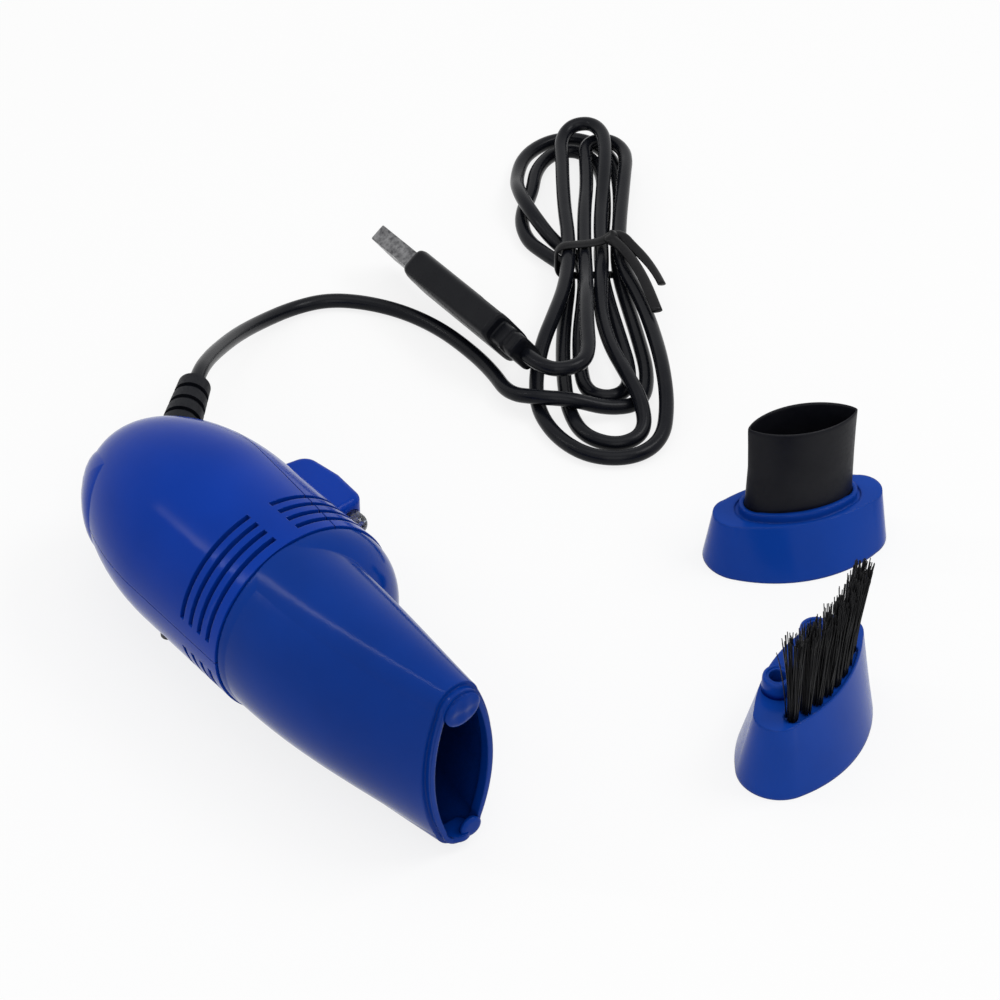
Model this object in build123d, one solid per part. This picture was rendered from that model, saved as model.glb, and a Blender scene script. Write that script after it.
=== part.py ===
from build123d import *
import math
import os

os.makedirs("parts", exist_ok=True)

# Small hand vacuum for a keyboard, lying on its side, with its cable tied in a hank and two loose heads.
# Millimetres. While the pieces are made, X runs along the body towards the mouth, Y is the lamp's side and
# Z is up. X = 0 is the body's front rim, and the body's axis is at Y = 0.

# Body
BODY_RADIUS = 23.0
BODY_STRAIGHT = 32.0
TAIL_LENGTH = 40.0
WALL = 1.8
SEAM = 0.2
COVER_EDGE_Y = 9.4
COVER_SLOPE = 0.125
AXIS_Z = BODY_RADIUS

# Vent slots
SLOT_COUNT = 4
SLOT_WIDTH = 1.35
SLOT_PITCH = 3.1
FIRST_SLOT_X = -3.1
SLOT_GROUPS = ((10.0, 86.0), (100.0, 170.0), (190.0, 263.0), (277.0, 350.0))

# Lamp pod and lamp
POD_REAR_X = -40.0
POD_FRONT_X = -20.0
POD_TOP_Y = 32.2
POD_WIDTH = 9.4
LAMP_Y = 27.7
LAMP_RADIUS = 2.5
LAMP_FLANGE = 0.5
LAMP_LENGTH = 7.2
LAMP_OUT = 2.2
LAMP_FIT = 0.1

# Switch
SWITCH_X = -50.0
SWITCH_TRAVEL = 3.0
KNOB_LENGTH = 5.0
KNOB_WIDTH = 4.4
KNOB_HEIGHT = 1.9
STEM_LENGTH = 3.4
STEM_WIDTH = 2.2
SWITCH_LENGTH = 9.0
SWITCH_WIDTH = 5.0
SWITCH_HEIGHT = 3.6
SWITCH_DEPTH = 2.6
SLIDE_GAP = 0.3

# Nozzle
NOZZLE_RADIUS = 22.6
NOZZLE_LENGTH = 55.6
NOZZLE_GAP = 0.4
NOZZLE_WALL = 1.6
SPIGOT_LENGTH = 2.2
RUNNING_GAP = 0.3
BULGE_LENGTH = 16.0
DUCT_LAMP_SIDE = 14.0
MIDDLE_X = 28.0
MIDDLE_HALF_HEIGHT = 21.9
MIDDLE_LAMP_SIDE = 11.4
MIDDLE_FAR_SIDE = 20.0
MOUTH_HALF_HEIGHT = 22.2
MOUTH_HALF_WIDTH = 9.2
MOUTH_OFFSET_Y = -1.7
LIP_LENGTH = 1.6
LIP_INSET = 1.0
LIP_WALL = 1.3
LUG_RADIUS = 3.2
TONGUE_LENGTH = 2.4
NOZZLE_TRAVEL = 20.0

# Filter
FILTER_FLANGE = 1.2
FILTER_DEPTH = 10.0
FILTER_NOSE_RADIUS = BODY_RADIUS - 10.0
FILTER_THICKNESS = 0.6

# Motor and fan
SHROUD_THICKNESS = 1.2
PILLAR_RADIUS = 1.1
PILLAR_PLACE = BODY_RADIUS - WALL - RUNNING_GAP - PILLAR_RADIUS - 0.05
FAN_TIP_GAP = 0.65
FAN_RADIUS = PILLAR_PLACE - PILLAR_RADIUS - FAN_TIP_GAP
INTAKE_RADIUS = FAN_RADIUS / 2
FAN_BLADES = 9
FAN_FRONT_X = -5.2
FAN_PLATE_X = -14.3
FAN_PLATE = 1.2
BLADE_THICKNESS = 1.0
HUB_RADIUS = 3.2
HUB_REAR_X = -18.0
SHAFT_RADIUS = 1.0
SHAFT_FIT = 0.06
MOUNT_FRONT_X = -19.7
MOUNT_THICKNESS = 1.8
PILLAR_ANGLES = (30.0, 150.0, 270.0)
MOTOR_RADIUS = BODY_RADIUS - 11.5
MOTOR_LENGTH = 28.0
MOTOR_BOSS_RADIUS = 3.1
ENDCAP_LENGTH = 2.0
MOTOR_SCREW_PLACE = MOTOR_RADIUS - 3.7
TAG_PLACE = MOTOR_RADIUS - 4.8
TAG_THICKNESS = 0.5
WIRE_RADIUS = 0.5

# Housing screws, as places along the body and how far in from its skin
SCREW_SPOTS = ((-27.0, 5.7), (-46.0, 5.9), (-61.0, 9.8))
BOSS_RADIUS = 2.6
SCREW_RADIUS = 1.0
SCREW_HEAD_RADIUS = 1.9
SCREW_HEAD = 1.4
SCREW_REACH = 7.0

# Tail cap
CAP_HEIGHT = 0.9
CAP_HALF_LENGTH = 10.0
CAP_HALF_WIDTH = 7.5
CAP_ANGLE = 42.0

# Cable and strain relief
CORD_DIAMETER = 3.7
RELIEF_ANGLE = 46.7
RELIEF_LENGTH = 22.0
RELIEF_BASE_RADIUS = 5.0
RELIEF_TIP_RADIUS = 3.9
RELIEF_RINGS = 4
RING_GROOVE = 1.5
RING_DEPTH = 0.9
RELIEF_NECK = 3.9

# Loose heads
BASE_HALF_LENGTH = 22.0
BASE_HALF_WIDTH = 13.0
TOP_HALF_LENGTH = 20.3
TOP_HALF_WIDTH = 8.3
HEAD_WALL = 1.6
ADAPTOR_HEIGHT = 13.2
ADAPTOR_PLACE = (29.5, 118.0)
ADAPTOR_TURN = 67.4
SLEEVE_RISE = 1.6
SLEEVE_WALL = 1.2
SLEEVE_FOOT = 6.6
TUBE_HALF_LENGTH = 12.9
TUBE_HALF_WIDTH = 5.5
TUBE_TOP_HALF_LENGTH = 13.5
TUBE_TOP = 37.2
TUBE_WALL = 0.9
TUBE_FIT = 0.05
BRUSH_HEIGHT = 18.3
BRUSH_PLACE = (77.0, 76.9)
BRUSH_TURN = 111.1
TUFTS = 8
TUFT_FIRST = -14.5
TUFT_LAST = 10.5
TUFT_RADIUS = 1.15
TUFT_INSET = 2.1
STRANDS = 40
STRAND_RADIUS = 0.13
BRISTLE_LENGTH = 23.5
BRISTLE_FAN = 1.55
STRIP_WIDTH = 3.4
STRIP_DEPTH = 0.8
AIR_POST_RADIUS = 3.0
AIR_POST_HOLE = 1.9
AIR_POST_HEIGHT = 3.6
AIR_POSTS = ((-8.0, -3.4), (9.5, -3.2))

# Plug
PLUG_NECK = (-54.2, 106.0)
PLUG_Z = 11.1
PLUG_ROLL = -55.0
PLUG_DROP = 1.9
PLUG_TURN = 3.7
NECK_LENGTH = 8.0
NECK_WIDTH = 10.4
NECK_HEIGHT = 6.2
GRIP_LENGTH = 35.5
GRIP_WIDTH = 16.0
GRIP_HEIGHT = 8.0
SHELL_EXPOSED = 16.5
SHELL_SUNK = 5.0
SHELL_WIDTH = 12.0
SHELL_HEIGHT = 4.5
SHELL_WALL = 0.3
TONGUE_THICKNESS = 1.9

# Hank: places along and across it are measured from its waist
WAIST = (-80.1, 149.1)
HANK_TURN = 142.9
HANK_GAP = 0.6
HANK_BASE = 0.9
TIE_THICKNESS = 0.7
TIE_WIDTH = 2.4
TIE_FIT = 0.15


# Shapes used again and again

def tube_along(edges, radius):
    """A round tube carried along a path."""
    path = Wire(edges)
    start = path @ 0
    ahead = path % 0
    section = Plane(origin=start, z_dir=ahead) * Circle(radius)
    return sweep(section, path=path)


def run_radii(points):
    """The largest tidy arc at each corner: 0.45 of the shorter run over the tangent of half the turn."""
    radii = []
    for before, here, after in zip(points, points[1:], points[2:]):
        first = Vector(*here) - Vector(*before)
        second = Vector(*after) - Vector(*here)
        half_turn = math.radians(first.get_angle(second)) / 2
        radii.append(0.45 * min(first.length, second.length) / math.tan(half_turn))
    return radii


def ellipse_body(radius, tail, front, straight):
    """A bullet: a straight round stretch from front back to straight, then half an ellipse."""
    outline = [
        Line((front, radius), (-straight, radius)),
        EllipticalCenterArc((-straight, 0), tail, radius, start_angle=90, arc_size=90),
        Line((-straight - tail, 0), (front, 0)),
        Line((front, 0), (front, radius)),
    ]
    return revolve(make_face(outline), axis=Axis.X, revolution_arc=360)


def body_radius_at(x, inset=0.0):
    """The body's radius at x, or that of a surface this far inside it."""
    if x >= -BODY_STRAIGHT:
        return BODY_RADIUS - inset
    share = (-x - BODY_STRAIGHT) / (TAIL_LENGTH - inset)
    return (BODY_RADIUS - inset) * math.sqrt(max(0.0, 1 - share * share))


def screw_places():
    """Where the housing screws stand, along and across the body."""
    return [(x, inset - body_radius_at(x)) for x, inset in SCREW_SPOTS]


def lens(half_length, half_width, other_width=None):
    """A long oval of four arcs, its length along the sketch's Y, with another half width on -X if given."""
    left_width = half_width if other_width is None else other_width
    side_y = 0.8 * half_length
    right = 0.6 * half_width
    left = -0.6 * left_width
    return make_face([
        ThreePointArc((right, -side_y), (half_width, 0), (right, side_y)),
        ThreePointArc((right, side_y), (0, half_length), (left, side_y)),
        ThreePointArc((left, side_y), (-left_width, 0), (left, -side_y)),
        ThreePointArc((left, -side_y), (0, -half_length), (right, -side_y)),
    ])


def lens_prism(half_length, half_width, low, high):
    """A straight upright block of lens section."""
    return Pos(0, 0, low) * extrude(lens(half_length, half_width), high - low)


def lens_taper(low_half, high_half, low, high):
    """A block whose lens section changes from one height to the other."""
    return loft([Pos(0, 0, low) * lens(*low_half), Pos(0, 0, high) * lens(*high_half)])


def cross_plane(x, y=0.0):
    """The plane square to the body's axis at x, its X along Y and its Y along Z."""
    return Plane(origin=(x, y, 0), x_dir=(0, 1, 0), z_dir=(1, 0, 0))


def disc(radius, low_x, high_x, y=0.0, z=0.0):
    """A round block along the body's axis."""
    return Plane(origin=(low_x, y, z), z_dir=(1, 0, 0)) * extrude(Circle(radius), high_x - low_x)


# Housing

def cover_plane(offset=0.0):
    """The slanted plane where the top cover meets the two shells."""
    along = Vector(-1, COVER_SLOPE, 0).normalized()
    across = Vector(COVER_SLOPE, 1, 0).normalized()
    start = Vector(0, COVER_EDGE_Y, 0) + across * offset
    return Plane(origin=start, x_dir=along, z_dir=across)


def vent_slots():
    """Cutters for the four groups of slots round the body's front."""
    width = BODY_RADIUS + 2
    depth = BODY_RADIUS - WALL - 0.6
    cutters = []
    for number in range(SLOT_COUNT):
        x = FIRST_SLOT_X - number * SLOT_PITCH
        outline = Pos(x, (width + depth) / 2) * Rectangle(SLOT_WIDTH, width - depth)
        for start, end in SLOT_GROUPS:
            cutters.append(Rot(start, 0, 0) * revolve(outline, axis=Axis.X, revolution_arc=end - start))
    return cutters


def relief_place():
    """The point where the cable's strain relief stands on the body, and its direction."""
    turn = math.radians(RELIEF_ANGLE)
    param = math.atan(math.tan(turn) * BODY_RADIUS / TAIL_LENGTH)
    x = -BODY_STRAIGHT - TAIL_LENGTH * math.cos(param)
    y = BODY_RADIUS * math.sin(param)
    return Vector(x, y, 0), Vector(-math.cos(turn), math.sin(turn), 0)


def housing():
    """The whole hollow body before it is split, with its ribs, slots and cable hole."""
    inner = ellipse_body(BODY_RADIUS - WALL, TAIL_LENGTH - WALL, 1, BODY_STRAIGHT)
    shell = ellipse_body(BODY_RADIUS, TAIL_LENGTH, 0, BODY_STRAIGHT) - inner
    rear_x = MOUNT_FRONT_X - MOUNT_THICKNESS - 0.1
    rib = disc(BODY_RADIUS - WALL / 2, rear_x - 1.3, rear_x) - disc(BODY_RADIUS - WALL - 1.6, rear_x - 2, rear_x + 1)
    shell = shell + rib
    shell = shell - vent_slots()
    foot, out = relief_place()
    return shell - Plane(origin=foot - out * 6, z_dir=out) * extrude(Circle(RELIEF_NECK + 0.05), 12)


def screw_boss(x, y, side):
    """A post from the split plane to the shell's wall, side being 1 for the upper shell."""
    post = Pos(x, y, side * SEAM / 2) * extrude(Circle(BOSS_RADIUS), side * BODY_RADIUS)
    return post & ellipse_body(BODY_RADIUS - WALL / 2, TAIL_LENGTH - WALL / 2, 0, BODY_STRAIGHT)


def head_seat_z(x, y):
    """Height of the screw head's seat in the lower shell."""
    return -math.sqrt(body_radius_at(x) ** 2 - y * y) + 1.2 + SCREW_HEAD


def upper_shell(body):
    half = split(body, bisect_by=Plane.XY.offset(SEAM / 2), keep=Keep.TOP)
    half = split(half, bisect_by=cover_plane(-SEAM / 2), keep=Keep.BOTTOM)
    for x, y in screw_places():
        half = half + screw_boss(x, y, 1)
        half = half - Pos(x, y, 0) * extrude(Circle(SCREW_RADIUS), SCREW_REACH)
    return half


def lower_shell(body):
    half = split(body, bisect_by=Plane.XY.offset(-SEAM / 2), keep=Keep.BOTTOM)
    half = split(half, bisect_by=cover_plane(-SEAM / 2), keep=Keep.BOTTOM)
    for x, y in screw_places():
        half = half + screw_boss(x, y, -1)
        half = half - Pos(x, y, 0) * extrude(Circle(SCREW_RADIUS + 0.1), -BODY_RADIUS)
        seat = head_seat_z(x, y)
        half = half - Pos(x, y, seat) * extrude(Circle(SCREW_HEAD_RADIUS + 0.15), -BODY_RADIUS)
    return half


def lamp_pod():
    """The raised pod on the cover, before it is trimmed to the body."""
    foot_y = BODY_RADIUS - 6
    outline = make_face(Polyline((POD_REAR_X - 2, foot_y), (POD_REAR_X, POD_TOP_Y - 1.5),
                                 (POD_REAR_X + 10, POD_TOP_Y), (POD_FRONT_X, POD_TOP_Y - 0.6),
                                 (POD_FRONT_X + 1, foot_y), close=True))
    outline = fillet([outline.vertices().sort_by(Axis.Y)[-3]], 4.0)
    outline = fillet([outline.vertices().filter_by_position(Axis.X, POD_FRONT_X - 0.1, POD_FRONT_X + 0.1)[0]], 3.0)
    pod = Pos(0, 0, -POD_WIDTH / 2) * extrude(outline, POD_WIDTH)
    rim = [edge for edge in pod.edges() if abs(abs(edge.center().Z) - POD_WIDTH / 2) < 0.01
           and edge.center().Y > foot_y + 0.5]
    return fillet(rim, 1.6)


def switch_plane(height=0.0):
    """The plane on the cover where the switch slides, its X along the travel and its Z outwards."""
    share = (-SWITCH_X - BODY_STRAIGHT) / TAIL_LENGTH
    slope = BODY_RADIUS / TAIL_LENGTH * share / math.sqrt(1 - share * share)
    along = Vector(1, slope, 0).normalized()
    out = Vector(-slope, 1, 0).normalized()
    return Plane(origin=Vector(SWITCH_X, body_radius_at(SWITCH_X), 0) + out * height, x_dir=along, z_dir=out)


def top_cover(body):
    cover = split(body, bisect_by=cover_plane(SEAM / 2), keep=Keep.TOP)
    inner = ellipse_body(BODY_RADIUS - WALL, TAIL_LENGTH - WALL, 1, BODY_STRAIGHT)
    cover = cover + (lamp_pod() - inner)
    flange_x = POD_FRONT_X + LAMP_OUT - LAMP_LENGTH
    cover = cover - disc(LAMP_RADIUS + LAMP_FIT, POD_FRONT_X - LAMP_LENGTH, POD_FRONT_X + 3, y=LAMP_Y)
    cover = cover - disc(LAMP_RADIUS + LAMP_FLANGE + LAMP_FIT, flange_x - 3, flange_x + 1, y=LAMP_Y)
    slot = Pos(0, 0, -4) * extrude(Rectangle(STEM_LENGTH + SWITCH_TRAVEL + 2 * SLIDE_GAP, STEM_WIDTH + 2 * SLIDE_GAP), 6)
    cover = cover - switch_plane() * slot
    for side in (-1, 1):
        rib = Box(1.0, SWITCH_WIDTH, SWITCH_DEPTH + SWITCH_HEIGHT / 2 - WALL / 2)
        low = -SWITCH_DEPTH - SWITCH_HEIGHT / 2
        place = Pos(side * (SWITCH_LENGTH / 2 + 0.6), 0, (low - WALL / 2) / 2)
        cover = cover + switch_plane() * (place * rib)
    return cover


def tail_cap():
    """The raised oval cap on the tail, seated on the body's surface."""
    turn = math.radians(CAP_ANGLE)
    param = math.atan(math.tan(turn) * BODY_RADIUS / TAIL_LENGTH)
    spot = Vector(-BODY_STRAIGHT - TAIL_LENGTH * math.cos(param), -BODY_RADIUS * math.sin(param), 0)
    out = Vector(-math.cos(turn), -math.sin(turn), 0)
    raised = ellipse_body(BODY_RADIUS + CAP_HEIGHT, TAIL_LENGTH + CAP_HEIGHT, 0, BODY_STRAIGHT)
    skin = raised - ellipse_body(BODY_RADIUS, TAIL_LENGTH, 1, BODY_STRAIGHT)
    plane = Plane(origin=spot - out * 8, x_dir=(0, 0, 1), z_dir=out)
    return skin & (plane * extrude(Ellipse(CAP_HALF_LENGTH, CAP_HALF_WIDTH), 16))


def strain_relief():
    """The ribbed rubber boot, with a flange inside the wall."""
    foot, out = relief_place()
    points = [(0, -WALL - 2.4), (RELIEF_NECK + 1, -WALL - 2.4), (RELIEF_NECK + 1, -WALL - 1.1), (RELIEF_NECK, -WALL - 1.1),
              (RELIEF_NECK, 0.6), (RELIEF_BASE_RADIUS, 0.6)]
    ring = (RELIEF_LENGTH - 3.0) / RELIEF_RINGS
    for number in range(RELIEF_RINGS):
        low = 2.5 + number * ring
        for height, depth in ((low, 0), (low, RING_DEPTH), (low + RING_GROOVE, RING_DEPTH), (low + RING_GROOVE, 0)):
            radius = RELIEF_BASE_RADIUS + (RELIEF_TIP_RADIUS - RELIEF_BASE_RADIUS) * height / RELIEF_LENGTH
            points.append((radius - depth, height))
    points += [(RELIEF_TIP_RADIUS, RELIEF_LENGTH), (0, RELIEF_LENGTH)]
    profile = Plane.XZ * make_face(Polyline(*points, close=True))
    return Plane(origin=foot, z_dir=out) * revolve(profile, axis=Axis.Z, revolution_arc=360)


def lamp_led():
    """The clear round lamp, its dome pointing forward."""
    rear = POD_FRONT_X + LAMP_OUT - LAMP_LENGTH
    outline = [
        Line((rear, 0), (rear, LAMP_RADIUS + LAMP_FLANGE)),
        Line((rear, LAMP_RADIUS + LAMP_FLANGE), (rear + 1, LAMP_RADIUS + LAMP_FLANGE)),
        Line((rear + 1, LAMP_RADIUS + LAMP_FLANGE), (rear + 1, LAMP_RADIUS)),
        Line((rear + 1, LAMP_RADIUS), (rear + LAMP_LENGTH, LAMP_RADIUS)),
        CenterArc((rear + LAMP_LENGTH, 0), LAMP_RADIUS, 0, 90),
        Line((rear + LAMP_LENGTH + LAMP_RADIUS, 0), (rear, 0)),
    ]
    lamp = Pos(0, LAMP_Y, 0) * revolve(make_face(outline), axis=Axis.X, revolution_arc=360)
    for side in (-1, 1):
        lamp = lamp + disc(0.25, rear - 2.5, rear + 0.5, y=LAMP_Y, z=side * 1.27)
    return lamp


def switch_slider():
    """The thumb slider, at its rear stop."""
    knob = Pos(0, 0, SLIDE_GAP + 0.1) * extrude(Rectangle(KNOB_LENGTH, KNOB_WIDTH), KNOB_HEIGHT)
    knob = fillet(knob.edges().filter_by(Axis.Z), 0.8)
    for number in (-1, 0, 1):
        groove = Pos(number * 1.3, 0, SLIDE_GAP + 0.1 + KNOB_HEIGHT) * Box(0.5, KNOB_WIDTH + 1, 0.8)
        knob = knob - groove
    depth = SWITCH_DEPTH + 1.0
    stem = Pos(0, 0, -depth) * extrude(Rectangle(STEM_LENGTH, STEM_WIDTH), depth + SLIDE_GAP + 0.2)
    return switch_plane() * (Pos(-SWITCH_TRAVEL / 2, 0, 0) * (knob + stem))


def switch_body():
    """The slide switch under the cover, with a slot for the slider's stem."""
    block = Pos(0, 0, -SWITCH_DEPTH - SWITCH_HEIGHT) * extrude(Rectangle(SWITCH_LENGTH, SWITCH_WIDTH), SWITCH_HEIGHT)
    slot = Rectangle(STEM_LENGTH + SWITCH_TRAVEL + 2 * SLIDE_GAP, STEM_WIDTH + 2 * SLIDE_GAP)
    block = block - Pos(0, 0, -SWITCH_DEPTH - 1.3) * extrude(slot, 3)
    for number in (-1, 0, 1):
        pin = Pos(number * 2.5, 0, -SWITCH_DEPTH - SWITCH_HEIGHT - 0.4) * Box(0.5, 1.2, 1.4)
        block = block + pin
    return switch_plane() * block


# Motor and fan

def shroud_rear():
    return -SPIGOT_LENGTH - RUNNING_GAP - SHROUD_THICKNESS


def pillar_spots(low_x, high_x, radius):
    """Round pieces along the axis at the three pillars."""
    place = PILLAR_PLACE
    spots = []
    for angle in PILLAR_ANGLES:
        turn = math.radians(angle)
        spots.append(disc(radius, low_x, high_x, y=place * math.cos(turn), z=place * math.sin(turn)))
    return spots


def fan_shroud():
    """The plate in front of the fan, with a guarded intake hole."""
    rear = shroud_rear()
    plate = disc(BODY_RADIUS - WALL - RUNNING_GAP, rear, rear + SHROUD_THICKNESS)
    plate = plate - disc(INTAKE_RADIUS, rear - 1, rear + SHROUD_THICKNESS + 1)
    for turn in (0, 60, 120):
        bar = Pos(rear + SHROUD_THICKNESS / 2, 0, 0) * Box(SHROUD_THICKNESS, 2 * INTAKE_RADIUS + 1, 1.2)
        plate = plate + Rot(turn, 0, 0) * bar
    return plate - pillar_spots(rear - 1, rear + SHROUD_THICKNESS + 1, 0.55) - pillar_spots(rear + 0.4, rear + 2, 1.05)


def shroud_screws():
    rear = shroud_rear()
    front = rear + SHROUD_THICKNESS
    heads = pillar_spots(front - 0.8, front, 1.0)
    shanks = pillar_spots(rear - 4, front - 0.4, 0.5)
    return Part(children=[head + shank for head, shank in zip(heads, shanks)])


def motor_mount():
    """The plate that carries the motor, with three pillars for the shroud."""
    rear = MOUNT_FRONT_X - MOUNT_THICKNESS
    mount = disc(BODY_RADIUS - WALL - RUNNING_GAP, rear, MOUNT_FRONT_X)
    for pillar in pillar_spots(rear, shroud_rear(), PILLAR_RADIUS):
        mount = mount + pillar
    mount = mount - disc(MOTOR_BOSS_RADIUS + 0.05, rear - 1, MOUNT_FRONT_X + 1)
    for side in (-1, 1):
        mount = mount - disc(1.0, rear - 1, MOUNT_FRONT_X + 1, z=side * MOTOR_SCREW_PLACE)
    return mount - pillar_spots(shroud_rear() - 5, shroud_rear() + 1, 0.5)


def motor_screws():
    screws = []
    rear = MOUNT_FRONT_X - MOUNT_THICKNESS
    for side in (-1, 1):
        head = disc(1.7, MOUNT_FRONT_X, MOUNT_FRONT_X + 1.0, z=side * MOTOR_SCREW_PLACE)
        screws.append(head + disc(0.9, rear - 2.5, MOUNT_FRONT_X + 0.2, z=side * MOTOR_SCREW_PLACE))
    return Part(children=screws)


def motor_can():
    """The motor's steel can, with its front boss and a bore for the shaft."""
    front = MOUNT_FRONT_X - MOUNT_THICKNESS
    can = disc(MOTOR_RADIUS, front - MOTOR_LENGTH, front)
    can = fillet(can.edges().filter_by(GeomType.CIRCLE), 1.0)
    can = can + disc(MOTOR_BOSS_RADIUS, front - 0.5, MOUNT_FRONT_X - 0.3)
    for side in (-1, 1):
        can = can - disc(0.9, front - 3, front + 1, z=side * MOTOR_SCREW_PLACE)
    return can - disc(SHAFT_RADIUS + SHAFT_FIT, front - MOTOR_LENGTH - 1, MOUNT_FRONT_X + 1)


def motor_rear():
    return MOUNT_FRONT_X - MOUNT_THICKNESS - MOTOR_LENGTH


def motor_endcap():
    """The plastic rear cap of the motor, with its bearing boss."""
    rear = motor_rear()
    cap = disc(MOTOR_RADIUS - 0.4, rear - ENDCAP_LENGTH, rear) + disc(3.0, rear - ENDCAP_LENGTH - 1.5, rear - 0.5)
    return cap - disc(SHAFT_RADIUS + SHAFT_FIT, rear - ENDCAP_LENGTH - 1.0, rear + 1)


def motor_terminals():
    tags = []
    rear = motor_rear() - ENDCAP_LENGTH
    for side in (-1, 1):
        tags.append(Pos(rear - 1.5, side * TAG_PLACE, 0) * Box(3.0, TAG_THICKNESS, 2.0))
    return Part(children=tags)


def motor_shaft():
    return disc(SHAFT_RADIUS, motor_rear() - ENDCAP_LENGTH - 0.8, FAN_FRONT_X - 1.0)


def fan_impeller():
    """The fan wheel: a back plate, a hub pressed on the shaft and backward curved blades."""
    wheel = disc(FAN_RADIUS, FAN_PLATE_X - FAN_PLATE, FAN_PLATE_X)
    wheel = wheel + disc(HUB_RADIUS, HUB_REAR_X, FAN_FRONT_X - 1.4)
    inner = HUB_RADIUS + 3.0
    outer = FAN_RADIUS - 0.6
    bend = math.radians(-22)
    tip = math.radians(-55)
    middle = (inner + outer) / 2 + 0.6
    curve = ThreePointArc((inner, 0), (middle * math.cos(bend), middle * math.sin(bend)),
                          (outer * math.cos(tip), outer * math.sin(tip)))
    blade = cross_plane(FAN_PLATE_X - 0.3) * extrude(SlotArc(curve, BLADE_THICKNESS), FAN_FRONT_X - FAN_PLATE_X + 0.3)
    for number in range(FAN_BLADES):
        wheel = wheel + Rot(360 / FAN_BLADES * number, 0, 0) * blade
    return wheel - disc(SHAFT_RADIUS, HUB_REAR_X - 1, FAN_FRONT_X)


def housing_screws():
    """Three screws put in from the lower shell."""
    screws = []
    for x, y in screw_places():
        seat = head_seat_z(x, y)
        head = Pos(x, y, seat) * extrude(Circle(SCREW_HEAD_RADIUS), -SCREW_HEAD)
        cross = Pos(x, y, seat - SCREW_HEAD) * (Box(2.2, 0.5, 1.0) + Box(0.5, 2.2, 1.0))
        shank = Pos(x, y, seat - 0.3) * extrude(Circle(SCREW_RADIUS - 0.05), SCREW_REACH - 0.5 - seat)
        screws.append(head - cross + shank)
    return Part(children=screws)


def lead_wires():
    """Three thin leads: cable to switch, switch to motor and cable to motor."""
    foot, out = relief_place()
    exit_point = foot - out * (WALL + 2.4)
    tag_x = motor_rear() - ENDCAP_LENGTH - 2.0
    pins = switch_plane(-SWITCH_DEPTH - SWITCH_HEIGHT - 1.7)
    tag_side = TAG_PLACE + TAG_THICKNESS / 2 + WIRE_RADIUS + 0.05
    far_side = TAG_PLACE - TAG_THICKNESS / 2 - WIRE_RADIUS - 0.05
    rear_pin = pins.origin + pins.x_dir * -2.5
    routes = (
        [exit_point + Vector(0, 0, 1.2), exit_point + Vector(1.5, -1.5, 1.2), rear_pin + Vector(-3.5, 0.05, 0.8), rear_pin],
        [pins.origin, pins.origin + Vector(0, -0.1, -2.2), Vector(tag_x, pins.origin.Y - 0.6, -2.2), Vector(tag_x, tag_side, 0)],
        [exit_point + Vector(0, 0, -1.2), exit_point + Vector(1.5, -1.5, -1.2), Vector(tag_x - 4, -3.0, -1.0),
         Vector(tag_x, -far_side, 0)],
    )
    wires = []
    for points in routes:
        bends = run_radii([tuple(point) for point in points])
        wires.append(tube_along(FilletPolyline(*points, radius=bends).edges(), WIRE_RADIUS))
    return Part(children=wires)


# Nozzle and filter

def bulge(radius, length, start):
    """Half an ellipsoid that rounds off the nozzle's round end."""
    outline = [
        Line((start, 0), (start, radius)),
        EllipticalCenterArc((start, 0), length, radius, start_angle=0, arc_size=90),
        Line((start + length, 0), (start, 0)),
    ]
    return revolve(make_face(outline), axis=Axis.X, revolution_arc=360)


def duct(inset, start, end):
    """The flattened duct from the round end to the mouth, this far inside the outer skin."""
    full = NOZZLE_RADIUS - 0.3 - inset
    near = cross_plane(start) * lens(full, DUCT_LAMP_SIDE - inset, full)
    middle = cross_plane(MIDDLE_X) * lens(MIDDLE_HALF_HEIGHT - inset, MIDDLE_LAMP_SIDE - inset, MIDDLE_FAR_SIDE - inset)
    far = cross_plane(end, MOUTH_OFFSET_Y) * lens(MOUTH_HALF_HEIGHT - inset, MOUTH_HALF_WIDTH - inset)
    return loft([near, middle, far])


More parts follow.
